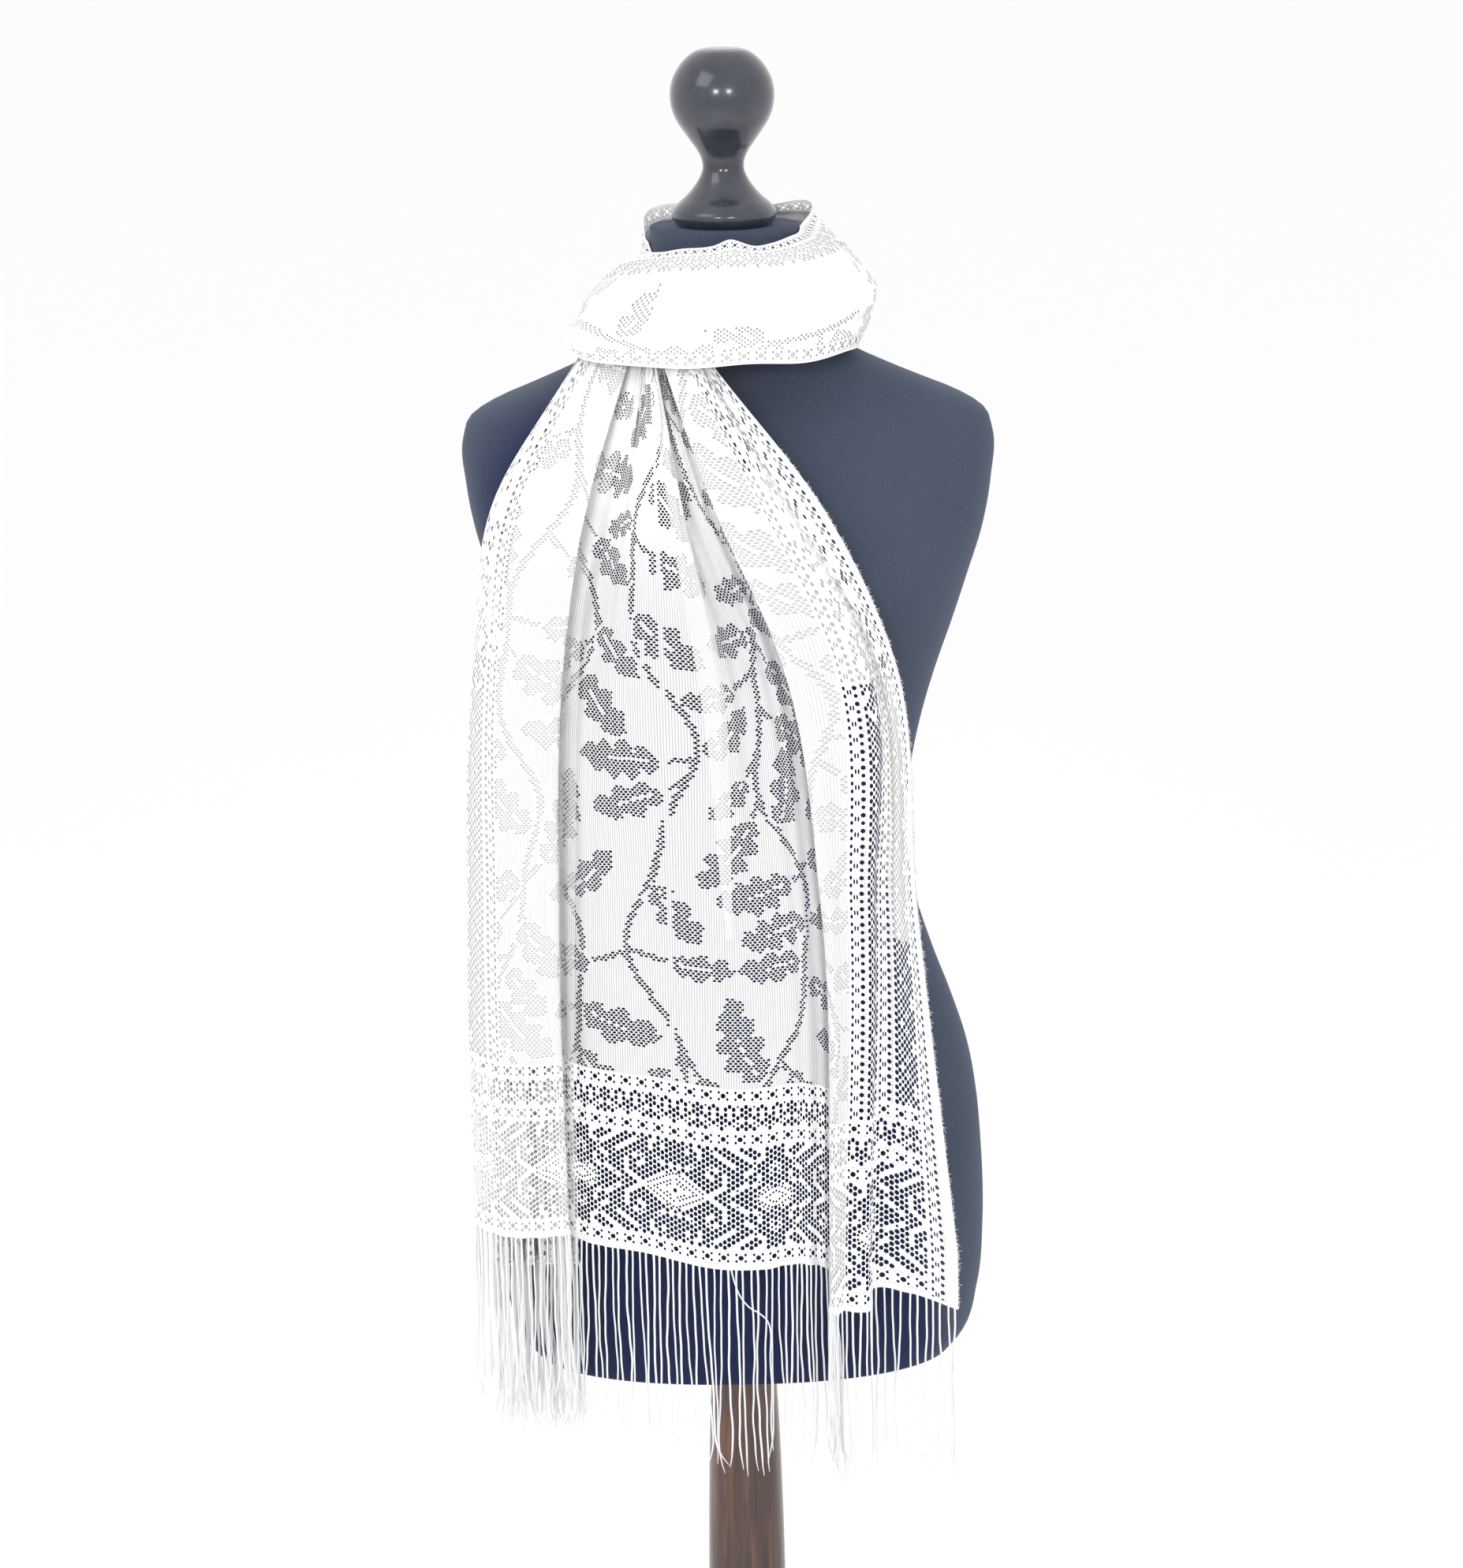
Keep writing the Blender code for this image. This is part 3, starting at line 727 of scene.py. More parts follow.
def leaf(x, y, length, lobes):
    """Inside of a lobed leaf from 0 to length along x: its half width swells and is deeply scalloped, and
    a bare midrib runs part way up its middle."""
    share = np.clip(x / length, 0, 1)
    scallop = 0.4 + 0.6 * np.abs(np.sin(math.pi * (lobes * share + 0.12 + 0.1 * np.sign(y)))) ** 0.8
    inside = (x > 0) & (x < length) & (np.abs(y) < leaf_half(share, length) * scallop)
    midrib = (np.abs(y) < 0.9) & (share > 0.1) & (share < 0.6)
    return inside & ~midrib


def leaf_half(share, length):
    """Half a leaf's width over its lobes."""
    return 0.275 * length * np.sin(math.pi * share**0.9) ** 0.5


VINE_TRUNKS = (
    # across of its middle, sway, phase
    (98, 16, 0.4),
    (178, 20, 3.1),
    (252, 20, 5.2),
    (338, 18, 1.9),
    (412, 14, 4.1),
)
LEAF_TRIES = 700


def trunk_line(up, middle, sway, phase):
    """Where a trunk is across the cloth, and its slope."""
    near = middle + sway * np.sin(up / 41 + phase) + 5 * np.sin(up / 17 + 2 * phase)
    slope = sway / 41 * np.cos(up / 41 + phase) + 5 / 17 * np.cos(up / 17 + 2 * phase)
    return near, slope


def vine(across, up):
    """True where the field's vine has holes: wavy double-dotted trunks, and lobed leaves that bend away from
    them on stalks. Leaves are tried at random places and kept where they have room. A leaf keeps a bare line
    round it where a trunk or stalk passes."""
    rng = np.random.default_rng(23)
    leaves, stems, taken, bare = (np.zeros(across.shape, bool) for _ in range(4))
    for trunk in VINE_TRUNKS:
        near, slope = trunk_line(up, *trunk)
        stems |= np.abs(across - near) / np.hypot(1, slope) < 2.3
    for k in range(LEAF_TRIES):
        trunk = VINE_TRUNKS[rng.integers(len(VINE_TRUNKS))]
        place = rng.uniform(END_BORDER - 50, TAIL_LENGTH + 20)
        side = rng.choice((-1, 1))
        big, tilt, bend, far = rng.uniform(0, 1, 4)
        length = 44 + 20 * big * (1 - 0.5 * k / LEAF_TRIES) - 8 * (k > LEAF_TRIES / 2)
        stalk_length = 5 + 54 * max(0, far - 0.45)
        lean = math.radians(10 + 58 * tilt) * (1 if bend < 0.2 else -1)
        angle = math.atan2(math.sin(lean), side * math.cos(lean))
        right, rise = across - trunk_line(place, *trunk)[0], up - place
        x = right * math.cos(angle) + rise * math.sin(angle)
        y = rise * math.cos(angle) - right * math.sin(angle) - side * (x - 8) ** 2 / (160 + 260 * bend)
        start = x - stalk_length
        inside = leaf(start, y, length, 3 + int(big * 1.5))
        share = np.clip((start + 3) / (length + 6), 0, 1)
        round_it = (share > 0) & (share < 1) & (np.abs(y) < 0.95 * leaf_half(share, length) + 1.5)
        stalk = (x > 0) & (start < 1.5) & (np.abs(y) < 2)
        room = max(inside.sum(), 1)
        crowded = (round_it & taken).sum() > 0.1 * room or (inside & stems).sum() > 0.07 * room
        if crowded or (stalk & taken).sum() > 0.2 * stalk.sum() + 1:
            continue
        taken |= round_it
        leaves |= inside
        bare |= leaf(start + 2, y * 0.8, length + 4, 3 + int(big * 1.5))
        stems |= stalk & ~inside
    return leaves | stems & ~bare


def field_holes(left, right, low, high):
    """Small holes wherever the vine shows, a little uneven in size."""
    across, up = staggered(left, right, low, high, LEAF_PITCH, LEAF_ROW)
    shown = vine(across, up)
    across, up = across[shown], up[shown]
    vary = 0.94 + 0.06 * np.sin(across * 0.9 + up * 1.7)
    return holes_at(across, up, LEAF_HOLE[0] * vary, LEAF_HOLE[1] * vary)


def respaced(path, step):
    """A path's points again, at even steps along it."""
    run = np.concatenate([[0], np.cumsum(np.hypot(*np.diff(path, axis=0).T))])
    at = np.linspace(0, run[-1], max(2, round(run[-1] / step) + 1))
    return np.stack([np.interp(at, run, path[:, 0]), np.interp(at, run, path[:, 1])], -1)


def diamond(x, y, half_width, half_height):
    """The outline |x|/a + |y|/b = 1."""
    turn = np.array([(1, 0), (0, 1), (-1, 0), (0, -1), (1, 0)], float)
    return turn * (half_width, half_height) + (x, y)


def curl(*places):
    """A smooth path through a few places."""
    knots = np.arange(len(places))
    return smooth_through(knots, np.array(places, float), np.linspace(0, len(places) - 1, 60))


# The bands' close-knitted figures, as a path, half its thickness, and whether small dots line it. They stand
# about the repeat's middle: the wide band's in one quarter of the repeat and the narrow band's in one half.
WIDE_TILE = 131.0
WIDE_FIGURES = (
    (diamond(0, 0, 4.6, 3.0), 1.7, True),
    (diamond(0, 0, 17.5, 11), 0.9, True),
    (curl((22, 0), (29, 5), (34, 13), (30.5, 20), (24, 20.5), (22, 16), (25.5, 13.4)), 1.1, False),
    (curl((0, 17.5), (7, 18.5), (12, 22.5), (17, 27.5), (15.5, 33.5), (9.5, 33.5), (9, 29)), 1.05, False),
    (curl((23, 38), (28, 32), (35, 27.5), (40, 21), (45, 17)), 1.0, False),
    (curl((37, 2), (41.5, 8), (49, 9.5), (54.5, 14), (52, 20.5), (46.5, 20), (46.5, 15.5)), 1.1, False),
    (curl((35, 37.5), (41, 34), (47, 28.5), (53.5, 27.5), (57.5, 32), (53.5, 36.5)), 1.05, False),
    (diamond(65.5, 0, 10.5, 6.6), 0.9, True),
    (diamond(65.5, 0, 1.8, 1.2), 1.2, False),
    (curl((65.5, 13.5), (61.5, 18.5), (65.5, 23)), 1.0, False),
)
NARROW_TILE = 31.0
NARROW_FIGURES = (
    (curl((1.5, -6.8), (6, -7.6), (11, -5), (11.8, 0.5), (8, 4.2), (4.2, 1.8), (6.4, -1.4)), 1.0, False),
    (curl((15.5, 6.2), (11, 8.4), (6.5, 9.2)), 0.6, False),
    (curl((0, 3.2), (0, 7.4)), 0.8, False),
)
SIDE_FIGURES = (
    (curl((0, -7.2), (5.5, -5.6), (9.5, -1), (8.2, 4.4), (3.4, 5.2)), 0.75, False),
    (curl((15.5, 4.5), (13.5, 8)), 0.6, False),
)


def repeat_holes(figures, tile, height, turns):
    """Holes of one repeat of a band about its middle.

    A line of small holes follows each dotted figure's path on both sides, 1 mm outside it. The net's large
    holes stand on a staggered lattice, and shrink with their clearance from figures and small holes.
    """
    samples, thickness, small = [], [], []
    for path, thick, dotted in figures:
        for turn in turns:
            for shift in (-tile, 0, tile):
                line = respaced(path, 0.7) * turn + (shift, 0)
                samples.append(line)
                thickness.append(np.full(len(line), thick))
                if dotted:
                    line = respaced(path, 2.55) * turn + (shift, 0)
                    along = unit(np.gradient(line, axis=0))
                    square = np.stack([-along[:, 1], along[:, 0]], -1) * (thick + 1)
                    small += [respaced(line + square, 2.6), respaced(line - square, 2.6)]
    samples, thickness = np.concatenate(samples), np.concatenate(thickness)
    small = np.concatenate(small) if small else np.zeros((0, 2))

    def clearance(places):
        """How far places are from the nearest figure's edge."""
        gap = np.hypot(places[:, None, 0] - samples[:, 0], places[:, None, 1] - samples[:, 1])
        return (gap - thickness).min(1)

    if len(small):
        small = small[(np.abs(small[:, 0]) < tile / 2) & (np.abs(small[:, 1]) < height / 2 - 1.2)]
        small = small[clearance(small) > 0.62]
        x = (small[:, None, 0] - small[:, 0] + tile / 2) % tile - tile / 2
        near = np.hypot(x / 1.95, (small[:, None, 1] - small[:, 1]) / 2.2) < 1
        small = small[~np.any(near & np.tri(len(small), k=-1, dtype=bool), axis=1)]
    half_columns = round(tile / 2 / NET[0])
    rows = int(height / 2 / NET[1])
    column, row = np.meshgrid(np.arange(1 - half_columns, half_columns + 1), np.arange(-rows, rows + 1))
    use = (column + row) % 2 == 0
    net = np.stack([column[use] * tile / 2 / half_columns, row[use] * NET[1]], -1)
    net = net[np.abs(net[:, 1]) < height / 2 - 1.7]
    size = np.clip((clearance(net) + 0.85) / 1.5, 0, 1)
    if len(small):
        x = (net[:, None, 0] - small[:, 0] + tile / 2) % tile - tile / 2
        room = np.hypot(x / 2.3, (net[:, None, 1] - small[:, 1]) / 2.9).min(1)
        size = np.minimum(size, np.clip((room * 2.3 - SMALL_HOLE[0] - 0.15) / NET_HOLE[0], 0, 1))
    net, size = net[size > 0.55], size[size > 0.55]
    half_width = NET_HOLE[0] * tile / 2 / half_columns / NET[0]
    return np.concatenate(
        [
            holes_at(small[:, 0], small[:, 1], *SMALL_HOLE),
            holes_at(net[:, 0], net[:, 1], half_width * size, NET_HOLE[1] * size),
        ]
    )


def repeated(holes, tile, first, last, middle):
    """A repeat's holes laid again and again from first to last, about a middle line."""
    count = math.ceil((last - first) / tile / 2) + 1
    shift = (first + last) / 2 + np.arange(-count, count + 1)[:, None] * tile
    return np.stack(
        [
            (holes[:, 0] + shift).ravel(),
            np.tile(holes[:, 1] + middle, len(shift)),
            np.tile(holes[:, 2], len(shift)),
            np.tile(holes[:, 3], len(shift)),
        ],
        -1,
    )


def step_middles(first, last, pitch):
    """Places at the middles of even steps, as near the pitch as whole steps allow, and the step."""
    count = round((last - first) / pitch)
    step = (last - first) / count
    return first + (np.arange(count) + 0.5) * step, step


def dot_row(first, last, middle):
    """A row of dots about a middle line: a large hole, four small at its corners, and a line of slits
    above and below."""
    place = step_middles(first, last, DOT_PITCH)[0]
    slits = step_middles(first, last, SLIT_PITCH)[0]
    parts = [holes_at(place, middle, 1.8, 2.0)]
    parts += [holes_at(place + x, middle + y, 0.9, 1.15) for x in (-2.75, 2.75) for y in (-2.4, 2.4)]
    parts += [holes_at(slits, middle + y, 0.62, 0.2) for y in (4.55, -4.55)]
    return np.concatenate(parts)


SIDE_DOTS = (
    # right of the middle, up in pitches, half width, half height
    (-2.9, 0.25, 1.6, 1.75),
    (-2.9, -0.25, 1.3, 1.5),
    (-0.3, 0.0, 0.6, 2.0),
    (1.3, 0.0, 0.6, 2.0),
    (3.3, 0.25, 0.95, 1.6),
    (3.3, -0.25, 0.95, 1.6),
)


def side_dots(first, last, middle):
    """A column of dots up the cloth: two uneven holes, a pair of slits and two small holes a repeat."""
    place, pitch = step_middles(first, last, DOT_PITCH)
    slits = step_middles(first, last, SLIT_PITCH)[0]
    parts = [holes_at(middle + x + 0 * place, place + y * pitch, *half) for x, y, *half in SIDE_DOTS]
    parts += [holes_at(middle + x + 0 * slits, slits, 0.2, 0.65) for x in (-4.75, 4.75)]
    return np.concatenate(parts)


WIDE_HOLES = repeat_holes(WIDE_FIGURES, WIDE_TILE, WIDE_BAND, ((1, 1), (-1, 1), (1, -1), (-1, -1)))
NARROW_HOLES = repeat_holes(NARROW_FIGURES, NARROW_TILE, NARROW_BAND, ((1, 1), (-1, 1)))
SIDE_HOLES = repeat_holes(SIDE_FIGURES, NARROW_TILE, NARROW_BAND, ((1, 1), (-1, 1)))


def end_border():
    """The bands above the hem, from the hem up: close hem, dots, wide band, dots, narrow band, dots."""
    left = SELVEDGE + DOT_ROW
    right = CLOTH_WIDTH - left
    wide = HEM + DOT_ROW + WIDE_BAND / 2
    narrow = HEM + DOT_ROW + WIDE_BAND + DOT_ROW + NARROW_BAND / 2
    holes = [
        dot_row(left, right, HEM + DOT_ROW / 2),
        repeated(WIDE_HOLES, WIDE_TILE, left, right, wide),
        dot_row(left, right, HEM + DOT_ROW * 1.5 + WIDE_BAND),
        repeated(NARROW_HOLES, NARROW_TILE, left, right, narrow),
        dot_row(left, right, END_BORDER - DOT_ROW / 2),
    ]
    return pierced(left, right, 0, END_BORDER, np.concatenate(holes))


def side_border(length, mirrored):
    """The bands inside one selvedge, from it in: close edge, dots, scrolls, dots, scrolls, dots.

    High up, where the border is gathered, most of the net's holes are drawn shut, at random."""
    edge = SELVEDGE + DOT_ROW
    first = repeated(SIDE_HOLES, NARROW_TILE, END_BORDER, length, edge + SCROLL_BAND / 2)
    second = repeated(SIDE_HOLES, NARROW_TILE, END_BORDER, length, edge + SCROLL_BAND * 1.5 + DOT_ROW)
    holes = [
        first[:, [1, 0, 3, 2]] * (1, 1, 0.74, 1.4),
        side_dots(END_BORDER, length, edge + SCROLL_BAND + DOT_ROW / 2),
        second[:, [1, 0, 3, 2]] * (1, 1, 0.74, 1.4),
        side_dots(END_BORDER, length, SIDE_BORDER - DOT_ROW / 2),
    ]
    rng = np.random.default_rng(31)
    for k in (0, 2):
        shut = np.interp(holes[k][:, 1], (390, 500), (0, 0.78))
        holes[k] = holes[k][rng.random(len(shut)) > shut]
    blocks = [
        pierced(0, edge, 0, length, side_dots(0, length, SELVEDGE + DOT_ROW / 2)),
        pierced(edge, SIDE_BORDER, END_BORDER, length, np.concatenate(holes)),
    ]
    points, faces = joined(blocks)
    if mirrored:
        points = np.stack([CLOTH_WIDTH - points[:, 0], points[:, 1]], -1)
        faces = faces[:, ::-1]
    return points, faces


def lace_piece(name, block, surface, material, node, turned_ribs=False):
    """A block of lace laid on its surface, with its cloth places as its uv, the two swapped for turned ribs.
    """
    uv, faces = block
    points = surface.at(uv[:, 0], uv[:, 1])
    piece = mesh_piece(name, points, faces, material, uv[:, ::-1] if turned_ribs else uv)
    if node:
        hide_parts(node)


def build_tail(prefix, surface, lace, sheer, node):
    """One tail: its field in two halves, its two side borders and its end border."""
    length = surface.length
    holes = field_holes(SIDE_BORDER, CLOTH_WIDTH - SIDE_BORDER, END_BORDER, length)
    for side, left, right in (
        ("left", SIDE_BORDER, CLOTH_WIDTH / 2),
        ("right", CLOTH_WIDTH / 2, CLOTH_WIDTH - SIDE_BORDER),
    ):
        block = pierced(left, right, END_BORDER, length, holes)
        lace_piece(f"{prefix}_field_{side}", block, surface, sheer, node)
    for side, mirrored in (("left", False), ("right", True)):
        lace_piece(f"{prefix}_border_{side}", side_border(length, mirrored), surface, lace, node)
    lace_piece(f"{prefix}_border_end", end_border(), surface, lace, node)


LININGS = (
    # name, left, right, low, high, the lower end's share of the width, whether it is a net
    ("left_lining", 52.5, 130, 132.5, 430, 1, False),
    ("end_lining", 52.5, 130, 5, 132.5, 1, True),
    ("left_top_lining", 82.5, 130, 430, 645, 1, False),
    ("fold_lining", 260, 297.5, 240, 645, 0.12, False),
    ("right_lining", 407.5, 435, 5, 645, 1, False),
    ("border_lining", 435, 487.5, 430, 570, 1, False),
    ("edge_lining", 462.5, 500, 250, 430, 0.6, False),
)


def build_lining(surface, lace, name, left, right, low, high, foot, netted):
    """A doubled part of the cloth, close behind the front tail: the same surface a gap further back. Its
    width narrows evenly to a share, foot, at its lower end, along its right edge."""

    def behind(across, down):
        """The front tail's places, moved back."""
        grid = surface.function(across, down).copy()
        grid[..., 1] += LAYER_GAP
        return grid

    lining = Surface(behind, surface.width, surface.length)
    holes = np.zeros((0, 4))
    if netted:
        net = staggered(left + 2, right - 2, low + 2, high - 2, NET[0] * 2, NET[1])
        holes = holes_at(*net, *NET_HOLE)
    points, faces = pierced(left, right, low, high, holes, 4.0)
    share = np.interp(points[:, 1], (low, high), (foot, 1))
    points = np.stack([right - (right - points[:, 0]) * share, points[:, 1]], -1)
    lace_piece(name, (points, faces), lining, lace, None)


# The wrap


def wrap_profile(table, directions, across):
    """Radius and height at each direction and share across, on smooth curves both ways."""
    table = np.array(table, float)
    if table[0, 0] > table[-1, 0]:
        table = table[::-1]
    rows = smooth_through(table[:, 0], table[:, 1:], directions).reshape(-1, 4, 2)
    profile = smooth_through(np.array([0, 0.3, 0.62, 1.0]), np.moveaxis(rows, 1, 0), across)
    return np.moveaxis(profile, (0, 1), (1, 0))


# Creases of the wrap: from a direction and share across to another, with the depth and width of each.
WRAP_CREASES = (
    (-78, 0.44, -8, 0.74, 3.0, 0.045),
    (-80, 0.58, -30, 0.92, 2.2, 0.035),
    (-72, 0.26, 28, 0.40, 2.2, 0.05),
    (-66, 0.14, -20, 0.24, 1.4, 0.04),
    (-25, 0.56, 66, 0.52, 2.0, 0.05),
    (12, 0.86, 84, 0.76, 1.8, 0.045),
    (8, 0.24, 80, 0.20, 1.6, 0.05),
    (70, 0.44, 150, 0.62, 2.6, 0.05),
    (96, 0.22, 200, 0.34, 2.4, 0.05),
    (130, 0.80, 238, 0.70, 2.2, 0.05),
    (176, 0.52, 262, 0.46, 2.4, 0.045),
    (215, 0.26, 280, 0.20, 1.6, 0.04),
)


def bells(directions, table):
    """Bell curves about a few directions, added up."""
    return sum(most * np.exp(-(((directions - middle) / spread) ** 2)) for middle, spread, most in table)


def wrap_sheet(table, start, end, layer):
    """A surface function of one stretch of the wrap.

    Each crease is a groove with a lip above it: minus a bell curve of the distance across from its line,
    plus a wider one beside it, faded out at its two ends. layer is how far inside the outer face it lies.
    """

    def grid(along, down):
        """Places at shares down the wrap and along it."""
        share = along / along[-1]
        directions = start + share * (end - start)
        profile = wrap_profile(table, directions, down)
        radius = profile[..., 0].T
        height = profile[..., 1].T
        turn = np.radians(directions)[None, :]
        place = down[:, None]
        edge = np.sin(math.pi * np.clip(place, 0, 1)) ** 0.7
        folds = 1.3 * np.sin(place * WRAP_SAGS * 2 * math.pi + turn * 1.3)
        for first, low, last, high, deep, wide in WRAP_CREASES:
            way = (directions[None, :] - first) / (last - first)
            line = low + (high - low) * way + 0.012 * np.sin(way * 11)
            fade = np.clip(np.minimum(way, 1 - way) * 6, 0, 1) ** 0.8
            off = (place - line) / wide
            folds = folds + deep * fade * (0.75 * np.exp(-((off + 1.6) ** 2) / 2.4) - np.exp(-(off**2)))
        ripple = 0.35 * np.sin(turn * 17 + place * 9 + 2 * np.sin(turn * 5))
        ripple = ripple + 0.25 * np.sin(turn * 29 - place * 14)
        gathers = np.clip((np.abs(directions[None, :]) - 50) / 25, 0, 1) * 0.5 * np.sin(place * 62 + turn * 6)
        radius = radius + (folds + ripple + gathers) * edge - layer * (0.25 + 0.75 * edge)
        upper = (1 - place) ** 3
        crest = bells(directions, WRAP_CRESTS)
        flare = bells(directions, WRAP_FLARES)
        radius = radius + FLARE_OUT * flare[None, :] * upper
        height = height + (crest + FLARE_UP * flare)[None, :] * upper
        height = height + 0.5 * np.sin(turn * 9) * (1 - edge)
        x = radius * np.sin(turn)
        y = WRAP_CENTRE - radius * np.cos(turn)
        return np.stack([x, y, height + FORM_FOOT], -1)

    return grid


def build_wrap(name, table, start, end, lace, inner_lace, node, begin=0.0):
    """One stretch round the neck: lace outside, and the close layers under it as a plain sheet. Its pattern
    goes on from begin, the width of the stretch before it; the width so far is returned."""
    shape = wrap_sheet(table, start, end, 0.0)(np.linspace(0, 1, 200), np.linspace(0, 1, 60))
    around, across = (np.linalg.norm(np.diff(shape, axis=k), axis=-1).sum(k).mean() for k in (1, 0))
    width = round(around / EDGE_STEP) * EDGE_STEP
    depth = round(across / EDGE_STEP) * EDGE_STEP
    along, up = staggered(0, width, 12, depth - 12, LEAF_ROW * 2, LEAF_PITCH / 2)
    shown = vine(up * 1.1 + 150, (along + begin) * 0.9 + 180) & (up < depth - 33)
    shown &= (along + begin < 110) | (along + begin > 280) | (up < 0.3 * depth)
    along, up = along[shown], up[shown]
    holes = [
        holes_at(along, up, 0.8, 0.95),
        dot_row(0, width, depth - 6.5),
        repeated(NARROW_HOLES, NARROW_TILE, 0, width, depth - 11.5 - NARROW_BAND / 2),
        dot_row(0, width, 6.5),
    ]
    outer = Surface(wrap_sheet(table, start, end, 0.0), width, depth)
    block = pierced(0, width, 0, depth, np.concatenate(holes), 3.2)
    lace_piece(name, block, outer, lace, node, True)
    inner = Surface(wrap_sheet(table, start, end, WRAP_LAYER), width, depth)
    block = pierced(0, width, 2.5, depth - 12.5, np.zeros((0, 4)), 3.2)
    lace_piece(f"{name}_inner", block, inner, inner_lace, None, True)
    return begin + width


# The fringe


def yarn_piece(name, paths, radii, yarn, sides=6):
    """A piece of tubes along many paths at once: each ring is radius (cos, sin) in the two directions
    square to the path. paths is (tubes, rings, 3) and radii (tubes, rings)."""
    tangent = unit(np.gradient(paths, axis=1))
    side = unit(np.cross(tangent, np.array([0.0, 1.0, 0.02])))
    other = np.cross(tangent, side)
    angles = np.arange(sides) * 2 * math.pi / sides
    ring = side[:, :, None] * np.cos(angles)[:, None] + other[:, :, None] * np.sin(angles)[:, None]
    points = paths[:, :, None] + ring * radii[:, :, None, None]
    run = np.linalg.norm(np.diff(paths, axis=1), axis=-1).cumsum(1)
    run = np.concatenate([np.zeros((len(paths), 1)), run], 1)
    around = np.broadcast_to(angles / (2 * math.pi) * 6, points.shape[:3])
    uv = np.stack([around, np.broadcast_to(run[..., None], around.shape)], -1)
    count, rings = paths.shape[:2]
    starts = np.arange(count)[:, None, None] * rings * sides
    faces = ring_faces(rings, sides)[:, [0, 3, 2, 1]] + starts
    return mesh_piece(name, points.reshape(-1, 3), faces.reshape(-1, 4), yarn, uv.reshape(-1, 2))


def build_fringe(name, surface, strands, yarn, node, seed, lengths):
    """Strands from the hem: each hangs down and drifts by slow sines of its own, some across their
    neighbours, and curls and tapers at its tip. lengths has places across the cloth and how long the
    strands are there, as shares of the usual length."""
    rng = np.random.default_rng(seed)
    across = np.linspace(2, CLOTH_WIDTH - 2, strands) + rng.uniform(-0.7, 0.7, strands)
    roots = surface.at(across, np.full(strands, KNOTS_UP))
    share = np.linspace(0, 1, STRAND_RINGS)[None, :]
    length = STRAND_LENGTH * rng.uniform(0.93, 1.02, (strands, 1))
    length *= np.interp(across, *lengths)[:, None]
    wild = np.where(rng.random((strands, 1)) < 0.16, 3.2, 1.0)
    sway = rng.normal(0, 2.0, (strands, 1)) * wild * share**1.2
    phase = rng.uniform(0, 2 * math.pi, (strands, 3))
    wavy = rng.uniform(0.5, 1.5, (strands, 1)) * share**0.5
    tip = rng.normal(0, 3.4, (strands, 1)) * np.clip((share - 0.84) / 0.16, 0, 1) ** 2
    x = roots[:, :1] + sway + wavy * np.sin(share * 8 + phase[:, :1]) + tip
    x = x + 0.25 * wavy * np.sin(share * 31 + phase[:, 2:])
    y = roots[:, 1:2] + 0.8 * wavy * np.sin(share * 7 + phase[:, 1:2])
    y = y + rng.normal(0, 1.2, (strands, 1)) * share - 1.2 * np.abs(wild - 1) * share
    z = roots[:, 2:] - share * length
    paths = np.stack([x, y, z], -1)
    taper = np.interp(share, (0, 0.04, 0.9, 1), (1.15, 1, 0.9, 0.3))
    piece = yarn_piece(name, paths, STRAND_RADIUS * rng.uniform(0.85, 1.15, (strands, 1)) * taper, yarn)
    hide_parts(node)


LOOSE_STRAND = (
    # right of its root, in front of it, below it
    (0, 0.5, 0),
    (2.2, 2.5, 9),
    (6, 3.5, 19),
    (12, 3.8, 27),
    (19.5, 3.8, 32),
    (25, 3.6, 38),
    (27, 3.2, 48),
    (26.3, 2.8, 66),
    (27.2, 2.4, 88),
    (26.2, 2.0, 112),
    (27.4, 1.6, 134),
)


def build_loose_strand(surface, yarn):
    """One slack strand that loops to the right over the others, through its own knots."""
    root = surface.at(np.array([LOOSE_ROOT]), np.array([KNOTS_UP]))[0]
    knots = np.array(LOOSE_STRAND, float) * (1, -1, -1)
    path = smooth_through(np.arange(len(knots)), knots, np.linspace(0, len(knots) - 1, 60)) + root
    radii = np.interp(np.linspace(0, 1, 60), (0, 0.05, 0.95, 1), (1, 0.75, 0.7, 0.3)) * STRAND_RADIUS
    yarn_piece("loose_strand", path[None], radii[None], yarn)


def build_hem_cord(name, surface, yarn):
    """A firm cord along the hem, carried on the surface's own line."""
    across = np.linspace(0, CLOTH_WIDTH, 700)
    path = surface.at(across, np.full(len(across), HEM_CORD_UP))[None]
    yarn_piece(name, path, np.full(path.shape[:2], HEM_CORD_RADIUS), yarn)


def build_fuzz(name, surface, across, yarn, seed):
    """Short stray hairs along a selvedge, leaning out and curling."""
    rng = np.random.default_rng(seed)
    up = np.sort(rng.uniform(5, surface.length - 70, HAIRS))
    edge = surface.at(np.full(HAIRS, across), up)
    inside = surface.at(np.full(HAIRS, abs(across - 6)), up)
    outward = unit(edge - inside)
    share = np.linspace(0, 1, 5)[None, :, None]
    reach = rng.uniform(0.5, 1.7, (HAIRS, 1, 1)) * np.where(rng.random((HAIRS, 1, 1)) < 0.05, 2.2, 1)
    bend = rng.normal(0, 1.0, (HAIRS, 1, 3)) * [0.5, 0.5, 1.0]
    paths = edge[:, None] + outward[:, None] * share * reach + bend * share**2 * 0.9
    yarn_piece(name, paths, np.full(paths.shape[:2], HAIR_RADIUS), yarn, sides=3)


# The stage


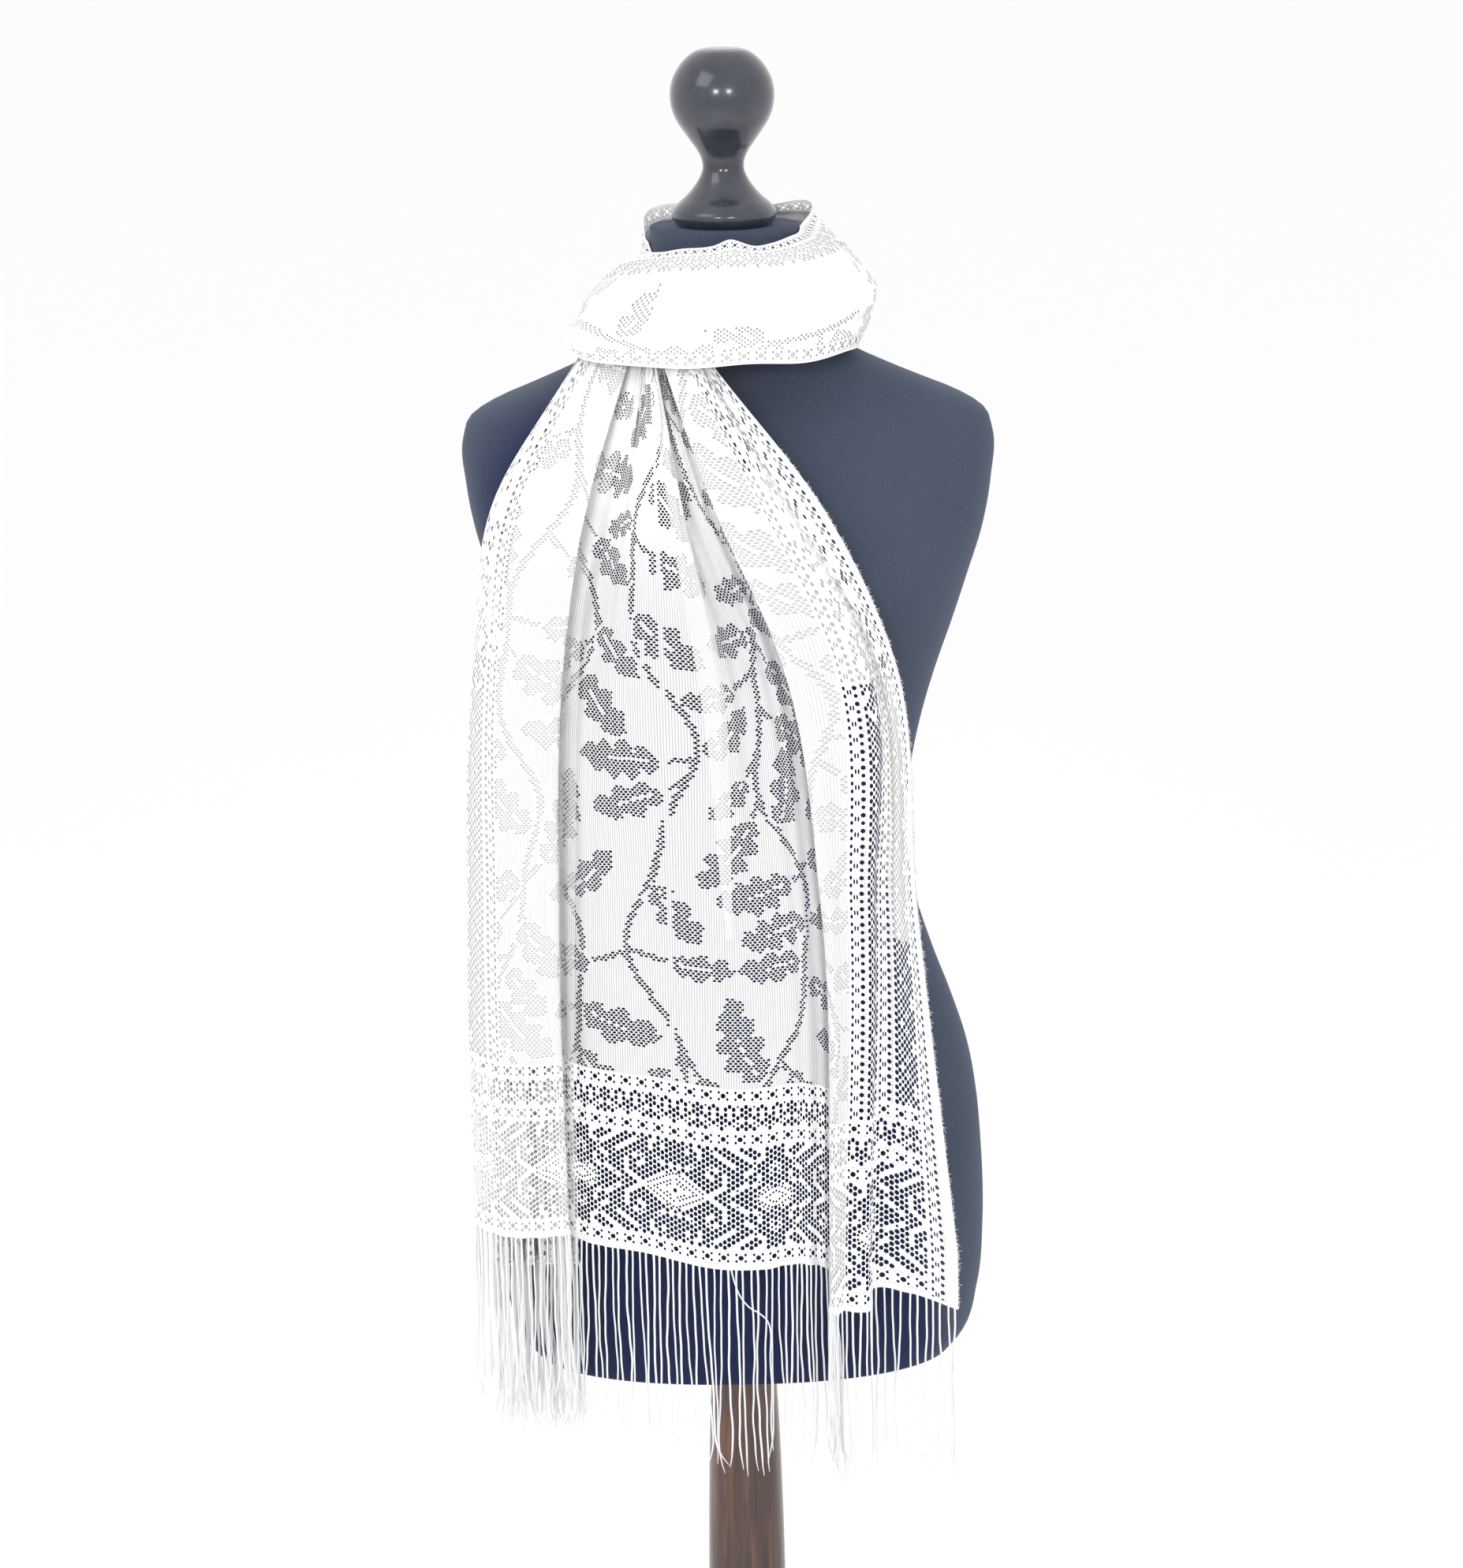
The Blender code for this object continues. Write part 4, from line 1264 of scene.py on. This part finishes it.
def build_stage():
    """A wide pale floor, soft light from the front and both sides, and the photograph's camera."""
    bpy.ops.mesh.primitive_plane_add(size=120)
    floor = bpy.context.object
    floor.name = "floor"
    floor.data.materials.append(floor_material())
    scene = bpy.context.scene
    world = scene.world or bpy.data.worlds.new("studio")
    scene.world = world
    world.use_nodes = True
    sky = world.node_tree.nodes["Background"]
    sky.inputs[0].default_value = SKY_COLOUR
    sky.inputs[1].default_value = SKY_STRENGTH
    for name, place, size, power in LIGHTS:
        lamp = bpy.data.lights.new(name, "AREA")
        lamp.size = size
        lamp.energy = power
        light = bpy.data.objects.new(name, lamp)
        light.location = place
        aim = Vector(LIT_PLACE) - Vector(place)
        light.rotation_euler = aim.to_track_quat("-Z", "Y").to_euler()
        scene.collection.objects.link(light)
    camera = bpy.data.objects.new("camera", bpy.data.cameras.new("camera"))
    scene.collection.objects.link(camera)
    camera.data.lens = CAMERA_LENS
    camera.data.sensor_width = SENSOR_WIDTH
    camera.data.shift_x = CAMERA_SHIFT
    camera.matrix_world = (
        Matrix.Translation(CAMERA_PLACE)
        @ Matrix.Rotation(math.radians(90 - CAMERA_PITCH), 4, "X")
        @ Matrix.Rotation(math.radians(CAMERA_ROLL), 4, "Z")
    )
    scene.camera = camera
    scene.view_settings.view_transform = "Standard"


def main():
    """Every piece, and then the stage."""
    lace = lace_material("close lace", 0)
    sheer = lace_material("sheer lace", 0.35)
    inner_lace = lace_material("inner lace", 0, 0.68)
    yarn = yarn_material()
    build_stand(lacquer_material(), wood_material())
    build_form(jersey_material())
    front = Surface(tail_grid, CLOTH_WIDTH, TAIL_LENGTH)
    build_tail("tail", front, lace, sheer, "tail_front")
    build_hem_cord("tail_hem_cord", front, yarn)
    build_fringe("tail_fringe", front, STRANDS, yarn, "fringe_front", 3, FRONT_LENGTHS)
    build_loose_strand(front, yarn)
    for lining in LININGS:
        build_lining(front, inner_lace, *lining)
    build_fuzz("tail_fuzz", front, CLOTH_WIDTH, yarn, 5)
    under = Surface(under_grid, CLOTH_WIDTH, UNDER_LENGTH)
    build_tail("under", under, lace, lace, "tail_under")
    build_hem_cord("under_hem_cord", under, yarn)
    build_fringe("under_fringe", under, STRANDS // 2, yarn, "fringe_under", 4, UNDER_LENGTHS)
    laces = (lace, inner_lace)
    width = build_wrap("wrap_lace_front", WRAP_FRONT, WRAP_FRONT[-1][0], SEAM, *laces, "wrap_front")
    back = (SEAM + SEAM_GAP, WRAP_BACK[-1][0])
    build_wrap("wrap_lace_back", WRAP_BACK, *back, *laces, "wrap_back", width)
    build_stage()


main()
